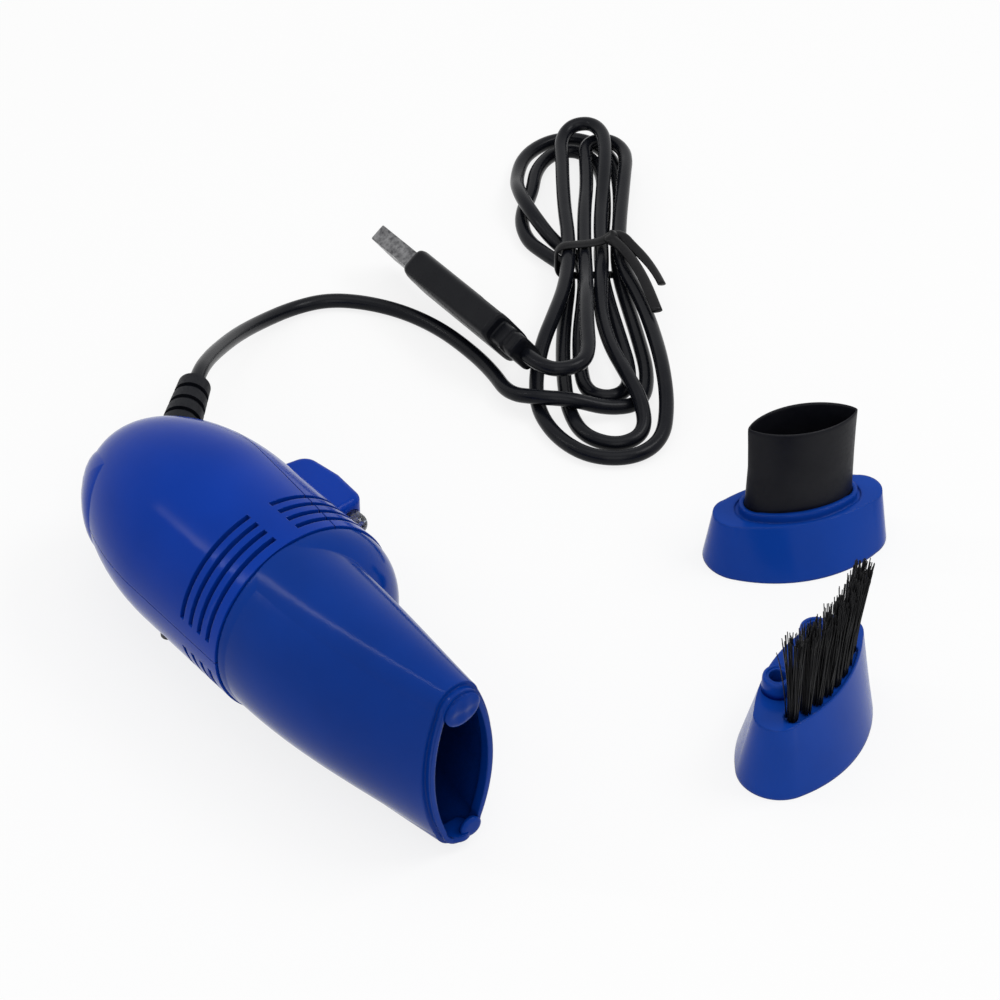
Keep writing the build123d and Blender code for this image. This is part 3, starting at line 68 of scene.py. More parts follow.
# The cable's route in metres from the rim: out of the strain relief, along the table, through the hank
# and into the plug
FREE_ROUTE = (
    (-0.0812, 0.0280, 0.0230), (-0.0847, 0.0316, 0.0230), (-0.0915, 0.0386, 0.0196),
    (-0.0994, 0.0480, 0.0144), (-0.1068, 0.0580, 0.0092), (-0.1122, 0.0686, 0.0048),
    (-0.1148, 0.0795, 0.0022), (-0.1126, 0.0886, 0.0019), (-0.1060, 0.0954, 0.0019),
    (-0.0964, 0.1008, 0.0019), (-0.0850, 0.1036, 0.0019), (-0.0730, 0.1038, 0.0019),
    (-0.0625, 0.1022, 0.0026),
)
HANK_ROUTE = (
    (-0.0518, 0.0986, 0.0040), (-0.0441, 0.1013, 0.0064), (-0.0383, 0.1075, 0.0062),
    (-0.0335, 0.1149, 0.0026), (-0.0304, 0.1228, 0.0020), (-0.0373, 0.1310, 0.0022),
    (-0.0503, 0.1388, 0.0027), (-0.0643, 0.1467, 0.0027), (-0.0738, 0.1524, 0.0027),
    (-0.0825, 0.1592, 0.0027), (-0.0927, 0.1689, 0.0027), (-0.1042, 0.1786, 0.0022),
    (-0.1153, 0.1860, 0.0019), (-0.1266, 0.1868, 0.0019), (-0.1329, 0.1798, 0.0019),
    (-0.1318, 0.1686, 0.0019), (-0.1238, 0.1593, 0.0024), (-0.1140, 0.1524, 0.0062),
    (-0.1036, 0.1487, 0.0064), (-0.0936, 0.1478, 0.0034), (-0.0857, 0.1491, 0.0027),
    (-0.0782, 0.1450, 0.0027), (-0.0701, 0.1375, 0.0027), (-0.0607, 0.1284, 0.0025),
    (-0.0505, 0.1202, 0.0020), (-0.0428, 0.1156, 0.0019), (-0.0373, 0.1178, 0.0019),
    (-0.0366, 0.1237, 0.0019), (-0.0424, 0.1293, 0.0021), (-0.0530, 0.1352, 0.0026),
    (-0.0662, 0.1426, 0.0027), (-0.0764, 0.1490, 0.0027), (-0.0851, 0.1558, 0.0027),
    (-0.0944, 0.1650, 0.0027), (-0.1043, 0.1734, 0.0023), (-0.1140, 0.1805, 0.0019),
    (-0.1241, 0.1818, 0.0019), (-0.1279, 0.1755, 0.0019), (-0.1245, 0.1666, 0.0019),
    (-0.1166, 0.1589, 0.0019), (-0.1107, 0.1501, 0.0019), (-0.1013, 0.1443, 0.0019),
    (-0.0922, 0.1438, 0.0024), (-0.0845, 0.1441, 0.0027), (-0.0776, 0.1391, 0.0027),
    (-0.0690, 0.1307, 0.0026), (-0.0593, 0.1219, 0.0022), (-0.0491, 0.1139, 0.0019),
    (-0.0391, 0.1071, 0.0019), (-0.0296, 0.1040, 0.0019), (-0.0216, 0.1080, 0.0019),
    (-0.0207, 0.1158, 0.0026), (-0.0281, 0.1208, 0.0056), (-0.0378, 0.1238, 0.0070),
    (-0.0485, 0.1279, 0.0070), (-0.0598, 0.1345, 0.0070), (-0.0697, 0.1430, 0.0070),
    (-0.0779, 0.1503, 0.0070), (-0.0874, 0.1576, 0.0070), (-0.0971, 0.1664, 0.0072),
    (-0.1066, 0.1754, 0.0092), (-0.1135, 0.1812, 0.0098), (-0.1185, 0.1843, 0.0099),
    (-0.1237, 0.1846, 0.0098), (-0.1270, 0.1806, 0.0088), (-0.1248, 0.1754, 0.0073),
    (-0.1180, 0.1703, 0.0070), (-0.1102, 0.1640, 0.0070), (-0.0999, 0.1561, 0.0070),
    (-0.0900, 0.1492, 0.0070), (-0.0816, 0.1422, 0.0070), (-0.0736, 0.1344, 0.0070),
    (-0.0661, 0.1245, 0.0070), (-0.0601, 0.1159, 0.0060), (-0.0533, 0.1083, 0.0027),
    (-0.0440, 0.1015, 0.0019), (-0.0325, 0.0985, 0.0019), (-0.0223, 0.1004, 0.0019),
    (-0.0159, 0.1080, 0.0019), (-0.0163, 0.1174, 0.0024), (-0.0240, 0.1255, 0.0046),
    (-0.0338, 0.1324, 0.0070), (-0.0458, 0.1397, 0.0070), (-0.0584, 0.1463, 0.0070),
    (-0.0690, 0.1505, 0.0070), (-0.0777, 0.1556, 0.0070), (-0.0867, 0.1636, 0.0070),
    (-0.0969, 0.1733, 0.0070), (-0.1035, 0.1796, 0.0070), (-0.1085, 0.1844, 0.0063),
    (-0.1131, 0.1871, 0.0058), (-0.1182, 0.1874, 0.0057), (-0.1211, 0.1841, 0.0057),
    (-0.1201, 0.1798, 0.0057), (-0.1150, 0.1760, 0.0058), (-0.1056, 0.1684, 0.0060),
    (-0.0968, 0.1602, 0.0070), (-0.0876, 0.1524, 0.0070), (-0.0806, 0.1468, 0.0070),
    (-0.0727, 0.1406, 0.0076), (-0.0650, 0.1342, 0.0104),
)
TAIL_ROUTE = (
    (-0.0558, 0.1265, 0.0113), (-0.0433, 0.1170, 0.0113), (-0.0428, 0.1102, 0.0113),
    (-0.0471, 0.1055, 0.0113), (-0.0542, 0.1060, 0.0111),
)


class VacuumSettings(bpy.types.PropertyGroup):
    """Sizes and colours that someone reusing the vacuum would change."""

    body_colour: FloatVectorProperty(
        name="Housing", description="Glossy blue of the housing", subtype="COLOR", size=3, min=0, max=1,
        default=(0.001, 0.035, 0.315))
    nozzle_colour: FloatVectorProperty(
        name="Nozzle", description="Deeper blue of the nozzle", subtype="COLOR", size=3, min=0, max=1,
        default=(0.0008, 0.031, 0.235))
    head_colour: FloatVectorProperty(
        name="Loose heads", description="Blue of the two loose heads", subtype="COLOR", size=3, min=0, max=1,
        default=(0.004, 0.045, 0.305))
    cable_colour: FloatVectorProperty(
        name="Cable", description="Black of the cable and its mouldings", subtype="COLOR", size=3,
        min=0, max=1, default=(0.003, 0.0036, 0.0062))
    cable_diameter: FloatProperty(
        name="Cable diameter", description="Outside diameter of the cable", unit="LENGTH", default=0.0037,
        min=0.002, max=0.006, precision=4)
    bristle_length: FloatProperty(
        name="Bristle length", description="Length of the bristles above the head", unit="LENGTH",
        default=0.0235, min=0.01, max=0.03, precision=4)
    bristles_per_tuft: IntProperty(
        name="Bristles in a tuft", description="How many bristles stand in each tuft", default=54,
        min=10, max=120)
    key_power: FloatProperty(
        name="Key light", description="Power of the large soft light", unit="POWER", default=3.0,
        min=0, max=50)


def settings():
    """The scene's sizes and colours."""
    return bpy.context.scene.desk_vacuum


def place(x, y, z):
    """A point given from the housing's rim, in the row's frame."""
    return Vector((RIM_X + x, AXIS_Y + y, z))


# Materials. Depths of relief are in metres, and grains and threads are counts in a metre.
SKIN_GRAIN = 900.0
SKIN_DEPTH = 0.00001
TONE_VARIETY = 0.08
# Painted shade: the nearly black tone painted into a piece's hollow, where its own walls stand close
PAINTED_CAVITY_SHADE = (0.0004, 0.0012, 0.006)
DUST = 0.003
METAL_STREAKS = (40.0, 2500.0, 2500.0)
STREAK_DEPTH = 0.000004
SCUFF_DEPTH = 0.000012
CLOTH_THREADS = 2200.0
THREAD_DEPTH = 0.0001


def fresh_material(name):
    """A material with its shader and the object coordinates that its patterns read."""
    material = bpy.data.materials.new(name)
    material.use_nodes = True
    tree = material.node_tree
    shader = tree.nodes["Principled BSDF"]
    coordinates = tree.nodes.new("ShaderNodeTexCoord")
    return material, tree, shader, coordinates.outputs["Object"]


def noise(tree, where, scale, detail=2.0, roughness=0.5):
    """Noise whose features are one over scale metres across."""
    node = tree.nodes.new("ShaderNodeTexNoise")
    node.inputs["Scale"].default_value = scale
    node.inputs["Detail"].default_value = detail
    node.inputs["Roughness"].default_value = roughness
    tree.links.new(where, node.inputs["Vector"])
    return node.outputs["Fac"]


def ranged(tree, source, low, high, start=0.3, end=0.7):
    """The source stretched from start..end to low..high."""
    node = tree.nodes.new("ShaderNodeMapRange")
    node.inputs["From Min"].default_value = start
    node.inputs["From Max"].default_value = end
    node.inputs["To Min"].default_value = low
    node.inputs["To Max"].default_value = high
    tree.links.new(source, node.inputs["Value"])
    return node.outputs["Result"]


def blended(tree, amount, first, second):
    """A colour between two, by amount. The second may come from another node."""
    node = tree.nodes.new("ShaderNodeMix")
    node.data_type = "RGBA"
    tree.links.new(amount, node.inputs["Factor"])
    node.inputs["A"].default_value = (*first, 1)
    if isinstance(second, bpy.types.NodeSocket):
        tree.links.new(second, node.inputs["B"])
    else:
        node.inputs["B"].default_value = (*second, 1)
    return node.outputs["Result"]


def larger(tree, first, second):
    """The larger of two values."""
    node = tree.nodes.new("ShaderNodeMath")
    node.operation = "MAXIMUM"
    tree.links.new(first, node.inputs[0])
    tree.links.new(second, node.inputs[1])
    return node.outputs["Value"]


def bumped(tree, height, depth, strength=1.0, after=None):
    """A bump of this depth in metres."""
    node = tree.nodes.new("ShaderNodeBump")
    node.inputs["Strength"].default_value = strength
    node.inputs["Distance"].default_value = depth
    tree.links.new(height, node.inputs["Height"])
    if after is not None:
        tree.links.new(after, node.inputs["Normal"])
    return node.outputs["Normal"]


def soft_edges(tree, radius):
    """Normals as if every edge were rounded to this radius in metres."""
    node = tree.nodes.new("ShaderNodeBevel")
    node.samples = 6
    node.inputs["Radius"].default_value = radius
    return node.outputs["Normal"]


def painted_cavity_shade(tree, tone, reach):
    """The tone with painted shade: nearly black where the piece's own walls stand within reach, as in its
    hollow.
    """
    openness = tree.nodes.new("ShaderNodeAmbientOcclusion")
    openness.samples = 8
    openness.only_local = True
    openness.inputs["Distance"].default_value = reach
    share = ranged(tree, openness.outputs["AO"], 0, 1, start=0.12, end=0.55)
    return blended(tree, share, PAINTED_CAVITY_SHADE, tone)


def shade(colour, factor):
    """The colour, brighter or darker by a factor."""
    return tuple(channel * factor for channel in colour)


def uneven_gloss(tree, shader, pattern, gloss):
    """Roughness that wanders a little round its mean with the pattern."""
    tree.links.new(ranged(tree, pattern, gloss * 0.8, gloss * 1.3), shader.inputs["Roughness"])


def moulded_plastic(name, colour, gloss, edge=0.0002, specular=0.4, hollow=0.0):
    """Moulded plastic: slow changes of tone and gloss, a fine uneven skin and edges that catch the light.
    With hollow, a reach in metres, the inside goes dark with painted shade."""
    material, tree, shader, where = fresh_material(name)
    slow = ranged(tree, noise(tree, where, 45.0, 3.0), 0, 1)
    tone = blended(tree, slow, shade(colour, 1 - TONE_VARIETY), shade(colour, 1 + TONE_VARIETY))
    if hollow:
        tone = painted_cavity_shade(tree, tone, hollow)
    tree.links.new(tone, shader.inputs["Base Color"])
    fine = noise(tree, where, SKIN_GRAIN, 3.0, 0.6)
    uneven_gloss(tree, shader, fine, gloss)
    rounded = soft_edges(tree, edge)
    ripple = bumped(tree, noise(tree, where, 120.0, 1.0), SKIN_DEPTH * 3, 0.4, rounded)
    tree.links.new(bumped(tree, fine, SKIN_DEPTH, 0.5, ripple), shader.inputs["Normal"])
    shader.inputs["Specular IOR Level"].default_value = specular
    return material


def rubber(name, colour, gloss, grain=1500.0, depth=0.00002):
    """Soft black rubber or cable jacket: satin, with fine pitting and dusty patches."""
    material, tree, shader, where = fresh_material(name)
    slow = ranged(tree, noise(tree, where, 160.0, 4.0), 0, 1)
    dusty = tuple(channel + DUST for channel in colour)
    tree.links.new(blended(tree, slow, colour, dusty), shader.inputs["Base Color"])
    fine = noise(tree, where, grain, 4.0, 0.7)
    uneven_gloss(tree, shader, fine, gloss)
    tree.links.new(bumped(tree, fine, depth, 0.6), shader.inputs["Normal"])
    shader.inputs["Specular IOR Level"].default_value = 0.12
    return material


def metal(name, colour, roughness):
    """Rolled or drawn metal: streaks along X, in gloss and in a slight relief."""
    material, tree, shader, where = fresh_material(name)
    stretch = tree.nodes.new("ShaderNodeMapping")
    stretch.inputs["Scale"].default_value = METAL_STREAKS
    tree.links.new(where, stretch.inputs["Vector"])
    lines = noise(tree, stretch.outputs["Vector"], 1.0, 3.0)
    tree.links.new(ranged(tree, lines, roughness * 0.7, roughness * 1.5), shader.inputs["Roughness"])
    tone = blended(tree, ranged(tree, lines, 0, 1), shade(colour, 0.82), colour)
    tree.links.new(tone, shader.inputs["Base Color"])
    tree.links.new(bumped(tree, lines, STREAK_DEPTH, 0.6), shader.inputs["Normal"])
    shader.inputs["Metallic"].default_value = 1.0
    return material


def nickel_with_painted_shade(name, dull, bright):
    """Rolled nickel sheet with scuffed-looking blotches of gloss and slight relief; its tone is darkened and
    mottled with painted shade and painted dark reflections.
    """
    material, tree, shader, where = fresh_material(name)
    blotches = noise(tree, where, 620.0, 6.0, 0.65)
    # Painted shade and painted dark reflections: the dull and bright blotches of tone
    tone = blended(tree, ranged(tree, blotches, 0, 1, 0.36, 0.64), dull, bright)
    tree.links.new(tone, shader.inputs["Base Color"])
    tree.links.new(ranged(tree, blotches, 0.5, 0.22), shader.inputs["Roughness"])
    tree.links.new(bumped(tree, blotches, SCUFF_DEPTH, 0.6), shader.inputs["Normal"])
    shader.inputs["Metallic"].default_value = 1.0
    return material


def clear_resin(name):
    """Water-clear lamp resin with a faint haze, tinted blue-grey as a painted reflection of the blue housing
    around it.
    """
    material, tree, shader, where = fresh_material(name)
    haze = noise(tree, where, 500.0, 2.0)
    tree.links.new(ranged(tree, haze, 0.02, 0.06), shader.inputs["Roughness"])
    # Painted reflection: the blue-grey tint stands in for the blue housing seen in the clear lamp
    tone = blended(tree, ranged(tree, haze, 0, 1), (0.5, 0.57, 0.7), (0.62, 0.7, 0.85))
    tree.links.new(tone, shader.inputs["Base Color"])
    shader.inputs["Transmission Weight"].default_value = 0.97
    shader.inputs["IOR"].default_value = 1.5
    return material


def woven_cloth(name, colour):
    """Fine filter cloth: two crossing sets of threads."""
    material, tree, shader, where = fresh_material(name)
    heights = []
    for direction in ("Y", "Z"):
        wave = tree.nodes.new("ShaderNodeTexWave")
        wave.bands_direction = direction
        wave.inputs["Scale"].default_value = CLOTH_THREADS / math.tau
        tree.links.new(where, wave.inputs["Vector"])
        heights.append(wave.outputs["Fac"])
    weave = larger(tree, *heights)
    tree.links.new(blended(tree, weave, shade(colour, 0.6), colour), shader.inputs["Base Color"])
    tree.links.new(bumped(tree, weave, THREAD_DEPTH, 0.8), shader.inputs["Normal"])
    shader.inputs["Roughness"].default_value = 0.85
    return material


def dress(names, material):
    """Gives each named CAD node this material."""
    for name in names:
        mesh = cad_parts[name].data
        mesh.materials.clear()
        mesh.materials.append(material)


# Meshes

def new_piece(name, vertices, faces, material, smooth=True):
    """An object at the origin from arrays of vertices and faces."""
    mesh = bpy.data.meshes.new(name)
    mesh.from_pydata(vertices.reshape(-1, 3).tolist(), [], faces)
    mesh.update()
    if smooth:
        mesh.shade_smooth()
    mesh.materials.append(material)
    piece = bpy.data.objects.new(name, mesh)
    bpy.context.scene.collection.objects.link(piece)
    return piece


def grid_faces(rows, columns, wrap_rows=False, wrap_columns=False, start=0):
    """Quads that join a grid of vertices, worked out as whole arrays."""
    row = np.arange(rows if wrap_rows else rows - 1)
    column = np.arange(columns if wrap_columns else columns - 1)
    row, column = np.meshgrid(row, column, indexing="ij")
    next_row = (row + 1) % rows
    next_column = (column + 1) % columns
    quads = np.stack([row * columns + column, row * columns + next_column,
                      next_row * columns + next_column, next_row * columns + column], axis=-1)
    return (quads.reshape(-1, 4) + start).tolist()


def closed_faces(rows, columns):
    """Faces of a closed skin: a first pole, rows of a ring, and a last pole."""
    turn = np.arange(columns)
    after = (turn + 1) % columns
    first = np.stack([np.zeros(columns, int), after + 1, turn + 1], axis=-1).tolist()
    rings = grid_faces(rows, columns, wrap_columns=True, start=1)
    end = rows * columns + 1
    start = end - columns
    last = np.stack([np.full(columns, end), turn + start, after + start], axis=-1).tolist()
    return first + rings + last


def outward(rings):
    """The rings, or each of them the other way round where their skin would face inwards: the sum of
    the faces' normals times their places is three times the volume, and has to be positive."""
    around = np.roll(rings, -1, axis=1) - rings
    rise = np.roll(rings, -1, axis=0) - rings
    facing = (np.cross(around, rise) * (rings - rings.mean(axis=(0, 1)))).sum()
    return rings if facing > 0 else rings[:, ::-1]


def looped_piece(name, rings, material):
    """A closed skin through rings that go up the outside and down the inside and meet again."""
    rows, columns = rings.shape[:2]
    faces = grid_faces(rows, columns, wrap_rows=True, wrap_columns=True)
    return new_piece(name, outward(rings), faces, material)


def closed_piece(name, rings, material):
    """A closed skin through rings of points, with a pole at the middle of the first and last ring."""
    rings = outward(rings)
    rows, columns = rings.shape[:2]
    vertices = np.concatenate([rings[:1].mean(axis=1), rings.reshape(-1, 3), rings[-1:].mean(axis=1)])
    return new_piece(name, vertices, closed_faces(rows, columns), material)


def once_round(count):
    """Evenly spaced angles, once round."""
    return np.linspace(0, math.tau, count, endpoint=False)


def powered(wave, power):
    """sign(v) |v|^p of a sine or cosine, which squares up an oval for p under 1 and points it over 1."""
    return np.sign(wave) * np.abs(wave) ** power


def smooth_rows(points, steps):
    """Rows of numbers along a quadratic spline: between neighbouring middles a and c with control b,
    (1-t)^2 a + 2t(1-t) b + t^2 c."""
    points = np.asarray(points, float)
    middles = (points[1:] + points[:-1]) / 2
    starts = np.concatenate([points[:1], middles[1:-1]])
    ends = np.concatenate([middles[1:-1], points[-1:]])
    t = np.linspace(0, 1, steps, endpoint=False)[None, :, None]
    rows = (1 - t) ** 2 * starts[:, None] + 2 * t * (1 - t) * points[1:-1, None] + t ** 2 * ends[:, None]
    return np.concatenate([rows.reshape(-1, points.shape[1]), points[-1:]])


def carried_profile(path, across, half_width, half_thickness, columns, power):
    """An oval profile carried along a path: |w/a|^p + |t/b|^p = 1, where w runs along the given
    direction, squared to the path, and t is at right angles to both."""
    forward = np.gradient(path, axis=0)
    forward /= np.linalg.norm(forward, axis=1, keepdims=True)
    side = across - forward * (across * forward).sum(axis=1, keepdims=True)
    side /= np.linalg.norm(side, axis=1, keepdims=True)
    normal = np.cross(forward, side)
    turn = once_round(columns)
    wide = powered(np.cos(turn), 2 / power) * half_width[:, None]
    thick = powered(np.sin(turn), 2 / power) * half_thickness[:, None]
    return path[:, None] + side[:, None] * wide[..., None] + normal[:, None] * thick[..., None]


def placed(points):
    """Points given in millimetres from the housing's rim, in the row's frame in metres."""
    return points / 1000 + np.array([RIM_X, AXIS_Y, 0])


def eased(value, low, high):
    """0 below low, 1 above high, and 3u^2 - 2u^3 between, where u is the share of the way."""
    share = np.clip((value - low) / (high - low), 0, 1)
    return share * share * (3 - 2 * share)


# The bosses in the mouth, in millimetres from the rim and the body's axis: name, across, height,
# half width, half height, front, back, how far the edge falls away, height of the lumps, tilt
MOUTH_BOSSES = (
    ("mouth_lug", -1.6, 16.6, 4.3, 3.6, 58.15, 55.0, 0.35, 0.22, 0.3),
    ("mouth_tab", 0.4, -18.2, 2.6, 2.4, 57.9, 56.7, 0.4, 0.0, 0.0),
)


def mouth_boss(y, z, wide, high, front, back, edge, lump, tilt):
    """A moulded boss: an oval face that falls away by edge times r^8, with lumps from a product of
    sines, and a flat back."""
    share = np.array([0.04, 0.2, 0.35, 0.5, 0.62, 0.74, 0.84, 0.91, 0.96, 0.99, 1.0, 1.0])[:, None]
    angle = once_round(64)
    side = share * np.cos(angle)
    up = share * np.sin(angle)
    lumps = lump * np.sin(4.6 * side + 1.7 * up + 0.4) * np.sin(4.1 * up - 2.3 * side + 0.8)
    across = y + wide * side * math.cos(tilt) - high * up * math.sin(tilt)
    height = z + wide * side * math.sin(tilt) + high * up * math.cos(tilt) + AXIS_Z * 1000
    forward = front - edge * share ** 8 + lumps * (1 - share ** 4)
    forward[-1] = back
    return placed(np.stack([forward, across, height], axis=-1))


# The tail is half an ellipsoid: 32 behind the rim, 40 long and 23 in radius, in millimetres
TAIL_START = -32.0
TAIL_LENGTH = 40.0
TAIL_RADIUS = 23.0

# The leaf on it, in millimetres: the direction it faces, how far its middle lies below and beside the
# place there, half its height, and how far it reaches to either side from a line a little aside
LEAF_TURN = math.radians(46)
LEAF_DROP = 0.6
LEAF_ASIDE = 3.0
LEAF_HALF_HEIGHT = 14.6
LEAF_LINE = 5.0
LEAF_NEAR = 7.2
LEAF_FAR = 16.4
LEAF_LIFT = 0.95
LEAF_SUNK = 0.25
LEAF_BACK = 0.7


def tail_patch():
    """The raised leaf on the tail: a pointed oval in the plane across the direction out, its edges
    |sin|^1.6 and |sin|^2.2 of the angle away from its tips, dropped onto the ellipsoid and lifted by
    LEAF_LIFT (1 - r^7) less LEAF_SUNK; its back lies inside the wall."""
    turn = LEAF_TURN
    param = math.atan(math.tan(turn) * TAIL_RADIUS / TAIL_LENGTH)
    spot = np.array([TAIL_START - TAIL_LENGTH * math.cos(param), -TAIL_RADIUS * math.sin(param), -LEAF_DROP])
    out = np.array([-math.cos(turn), -math.sin(turn), 0])
    side = np.array([math.sin(turn), -math.cos(turn), 0])
    top = np.array([0.02, 0.2, 0.4, 0.6, 0.75, 0.86, 0.92, 0.96, 0.985, 1.0])
    radius = np.concatenate([top, top[::-1] * 0.97])[:, None, None]
    lift = np.concatenate([LEAF_LIFT * (1 - top ** 7) - LEAF_SUNK, np.full(len(top), -LEAF_BACK)])
    angle = once_round(120)
    tilt = np.sin(angle)
    up = LEAF_HALF_HEIGHT * np.cos(angle)
    along = LEAF_LINE + np.where(tilt > 0, LEAF_NEAR * np.abs(tilt) ** 2.2, -LEAF_FAR * np.abs(tilt) ** 1.6)
    outline = up[:, None] * np.array([0, 0, 1.0]) + along[:, None] * side
    base = spot + LEAF_ASIDE * side + radius * outline
    scale = np.array([TAIL_LENGTH, TAIL_RADIUS, TAIL_RADIUS])
    start = (base - np.array([TAIL_START, 0, 0])) / scale
    ray = out / scale
    a = (ray * ray).sum()
    b = 2 * (start * ray).sum(axis=-1)
    c = (start * start).sum(axis=-1) - 1
    reach = (-b + np.sqrt(np.maximum(b * b - 4 * a * c, 0))) / (2 * a)
    surface = base + out * reach[..., None]
    normal = (surface - np.array([TAIL_START, 0, 0])) / scale ** 2
    normal /= np.linalg.norm(normal, axis=-1, keepdims=True)
    points = surface + normal * lift[:, None, None]
    points[..., 2] += AXIS_Z * 1000
    return placed(points)


# The plug, in millimetres: its neck's end, and the directions back along the cable, across and through
# it. Its stations: along, half width, half height, from the neck to the front and into the sleeve's
# hole. The grip's long side runs from the station numbered here to the next.
PLUG_NECK = np.array([-54.2, 106.0, 11.1])
PLUG_BACK = np.array([0.997367, -0.064497, 0.033155])
PLUG_ACROSS = np.array([0.064117, 0.570628, -0.818702])
PLUG_UP = np.array([0.033884, 0.818672, 0.573261])
PLUG_STATIONS = (
    (0.0, 4.2, 2.4), (-0.25, 4.9, 2.9), (-0.8, 5.15, 3.05), (-2.6, 5.15, 3.05), (-2.9, 4.7, 2.6),
    (-4.0, 4.7, 2.6), (-4.3, 5.15, 3.05), (-7.7, 5.15, 3.05), (-8.0, 5.3, 3.1), (-8.05, 7.1, 3.4),
    (-8.5, 7.8, 3.85), (-9.0, 7.97, 3.97), (-42.3, 7.97, 3.97), (-43.0, 7.75, 3.8), (-43.4, 7.2, 3.3),
    (-43.5, 6.1, 2.35), (-41.5, 6.02, 2.27), (-41.4, 3.0, 1.2),
)
PLUG_LONG_SIDE = 11
PLUG_PANEL_SUNK = 0.75
PLUG_SQUARE_RAISED = 0.6


def plug_grip():
    """Rounded rectangles along the plug: |y/w|^5 + |z/h|^5 = 1 with w and h read from the stations,
    closer together on the long side; the upper face sinks over its rear panel, and a small square
    stands up again inside it."""
    stations = np.array(PLUG_STATIONS)
    number = np.arange(len(stations))
    fine = np.concatenate([
        np.linspace(0, PLUG_LONG_SIDE, 67),
        np.linspace(PLUG_LONG_SIDE, PLUG_LONG_SIDE + 1, 90)[1:],
        np.linspace(PLUG_LONG_SIDE + 1, len(stations) - 1, 31)[1:],
    ])
    x, wide, high = (np.interp(fine, number, stations[:, k]) for k in range(3))
    turn = once_round(112)
    y = wide[:, None] * powered(np.cos(turn), 0.4)
    z = high[:, None] * powered(np.sin(turn), 0.4)
    along = x[:, None] * np.ones_like(y)
    panel = eased(-along, 10.0, 10.5) * (1 - eased(-along, 19.2, 19.8)) * (1 - eased(np.abs(y), 5.4, 6.0))
    square = (1 - eased(np.abs(along + 14.4), 1.3, 1.8)) * (1 - eased(np.abs(y - 0.6), 1.4, 1.9))
    top = eased(z, 2.5, 3.5)
    z = z - top * panel * (PLUG_PANEL_SUNK - PLUG_SQUARE_RAISED * square)
    points = PLUG_NECK + along[..., None] * PLUG_BACK + y[..., None] * PLUG_ACROSS + z[..., None] * PLUG_UP
    return placed(points)


# The hank's waist in millimetres, the way it runs, and the tie's stations there: across, along,
# height, the width's direction in the same three, half width, half thickness
WAIST = np.array([-80.1, 149.1, 0.0])
HANK_TURN = math.radians(142.9)
TIE_STATIONS = (
    (16.4, -15.8, 8.8, 0.6, 0.6, -0.3, 1.35, 0.6), (15.3, -13.0, 9.9, 0.6, 0.6, -0.3, 1.35, 0.6),
    (12.4, -8.0, 11.5, 0.6, 0.6, 0.0, 1.35, 0.6), (9.4, -3.6, 12.1, 0.5, 0.9, 0.3, 1.4, 0.7),
    (7.4, -0.6, 12.5, 0.2, 1.0, 0.6, 1.6, 0.9), (5.0, 1.8, 11.6, -0.1, 1.0, 0.2, 1.7, 0.85),
    (2.0, 1.3, 9.9, 0.0, 1.0, 0.0, 1.6, 0.55), (-3.0, 0.9, 9.5, 0.0, 1.0, 0.0, 1.55, 0.52),
    (-7.6, 0.8, 9.45, 0.0, 1.0, 0.0, 1.55, 0.52), (-9.4, 0.7, 7.9, 0.0, 1.0, 0.0, 1.55, 0.52),
    (-9.4, 0.4, 4.8, 0.0, 1.0, 0.0, 1.55, 0.52), (-9.4, 0.1, 1.9, 0.0, 1.0, 0.0, 1.55, 0.42),
    (-7.8, 0.0, 0.45, 0.0, 1.0, 0.0, 1.5, 0.36), (0.0, 0.0, 0.45, 0.0, 1.0, 0.0, 1.5, 0.36),
    (7.8, 0.0, 0.45, 0.0, 1.0, 0.0, 1.5, 0.36), (9.4, -0.2, 1.9, 0.0, 1.0, 0.0, 1.55, 0.42),
    (9.4, -0.5, 4.8, 0.0, 1.0, 0.0, 1.55, 0.52), (9.3, -0.8, 7.9, 0.0, 1.0, 0.0, 1.6, 0.6),
    (8.2, -1.0, 10.3, 0.0, 1.0, 0.2, 1.7, 0.85), (5.2, 0.2, 12.6, 0.2, 1.0, 0.0, 1.8, 1.0),
    (3.8, -1.8, 13.2, 0.9, 0.5, 0.2, 1.7, 0.95), (6.2, -4.0, 12.7, 1.0, 0.3, 0.0, 1.5, 0.8),
    (9.0, -8.5, 12.0, 1.0, 0.4, 0.0, 1.4, 0.62), (11.6, -16.0, 11.3, 1.0, 0.3, 0.0, 1.4, 0.6),
    (13.4, -23.5, 10.4, 1.0, 0.2, 0.0, 1.4, 0.6), (14.4, -28.2, 9.7, 1.0, 0.2, 0.0, 1.4, 0.6),
)


def hank_to_row(across, along):
    """Directions of the hank turned into the table's x and y."""
    x = along * math.cos(HANK_TURN) + across * math.sin(HANK_TURN)
    y = along * math.sin(HANK_TURN) - across * math.cos(HANK_TURN)
    return x, y


def tie_band():
    """The tie's flat strip, with a wire's ridge along its middle, carried once round the waist and
    twice over itself at the knot."""
    rows = smooth_rows(TIE_STATIONS, steps=8)
    x, y = hank_to_row(rows[:, 0], rows[:, 1])
    path = np.stack([x, y, rows[:, 2]], axis=-1) + WAIST
    side_x, side_y = hank_to_row(rows[:, 3], rows[:, 4])
    side = np.stack([side_x, side_y, rows[:, 5]], axis=-1)
    return placed(carried_profile(path, side, rows[:, 6], rows[:, 7], columns=18, power=2.2))


# The brush head stands here, in metres, turned about the upright
BRUSH_X = 0.0770
BRUSH_Y = 0.0769
BRUSH_TURN = math.radians(111.1)
BRUSH_TOP = 0.0183

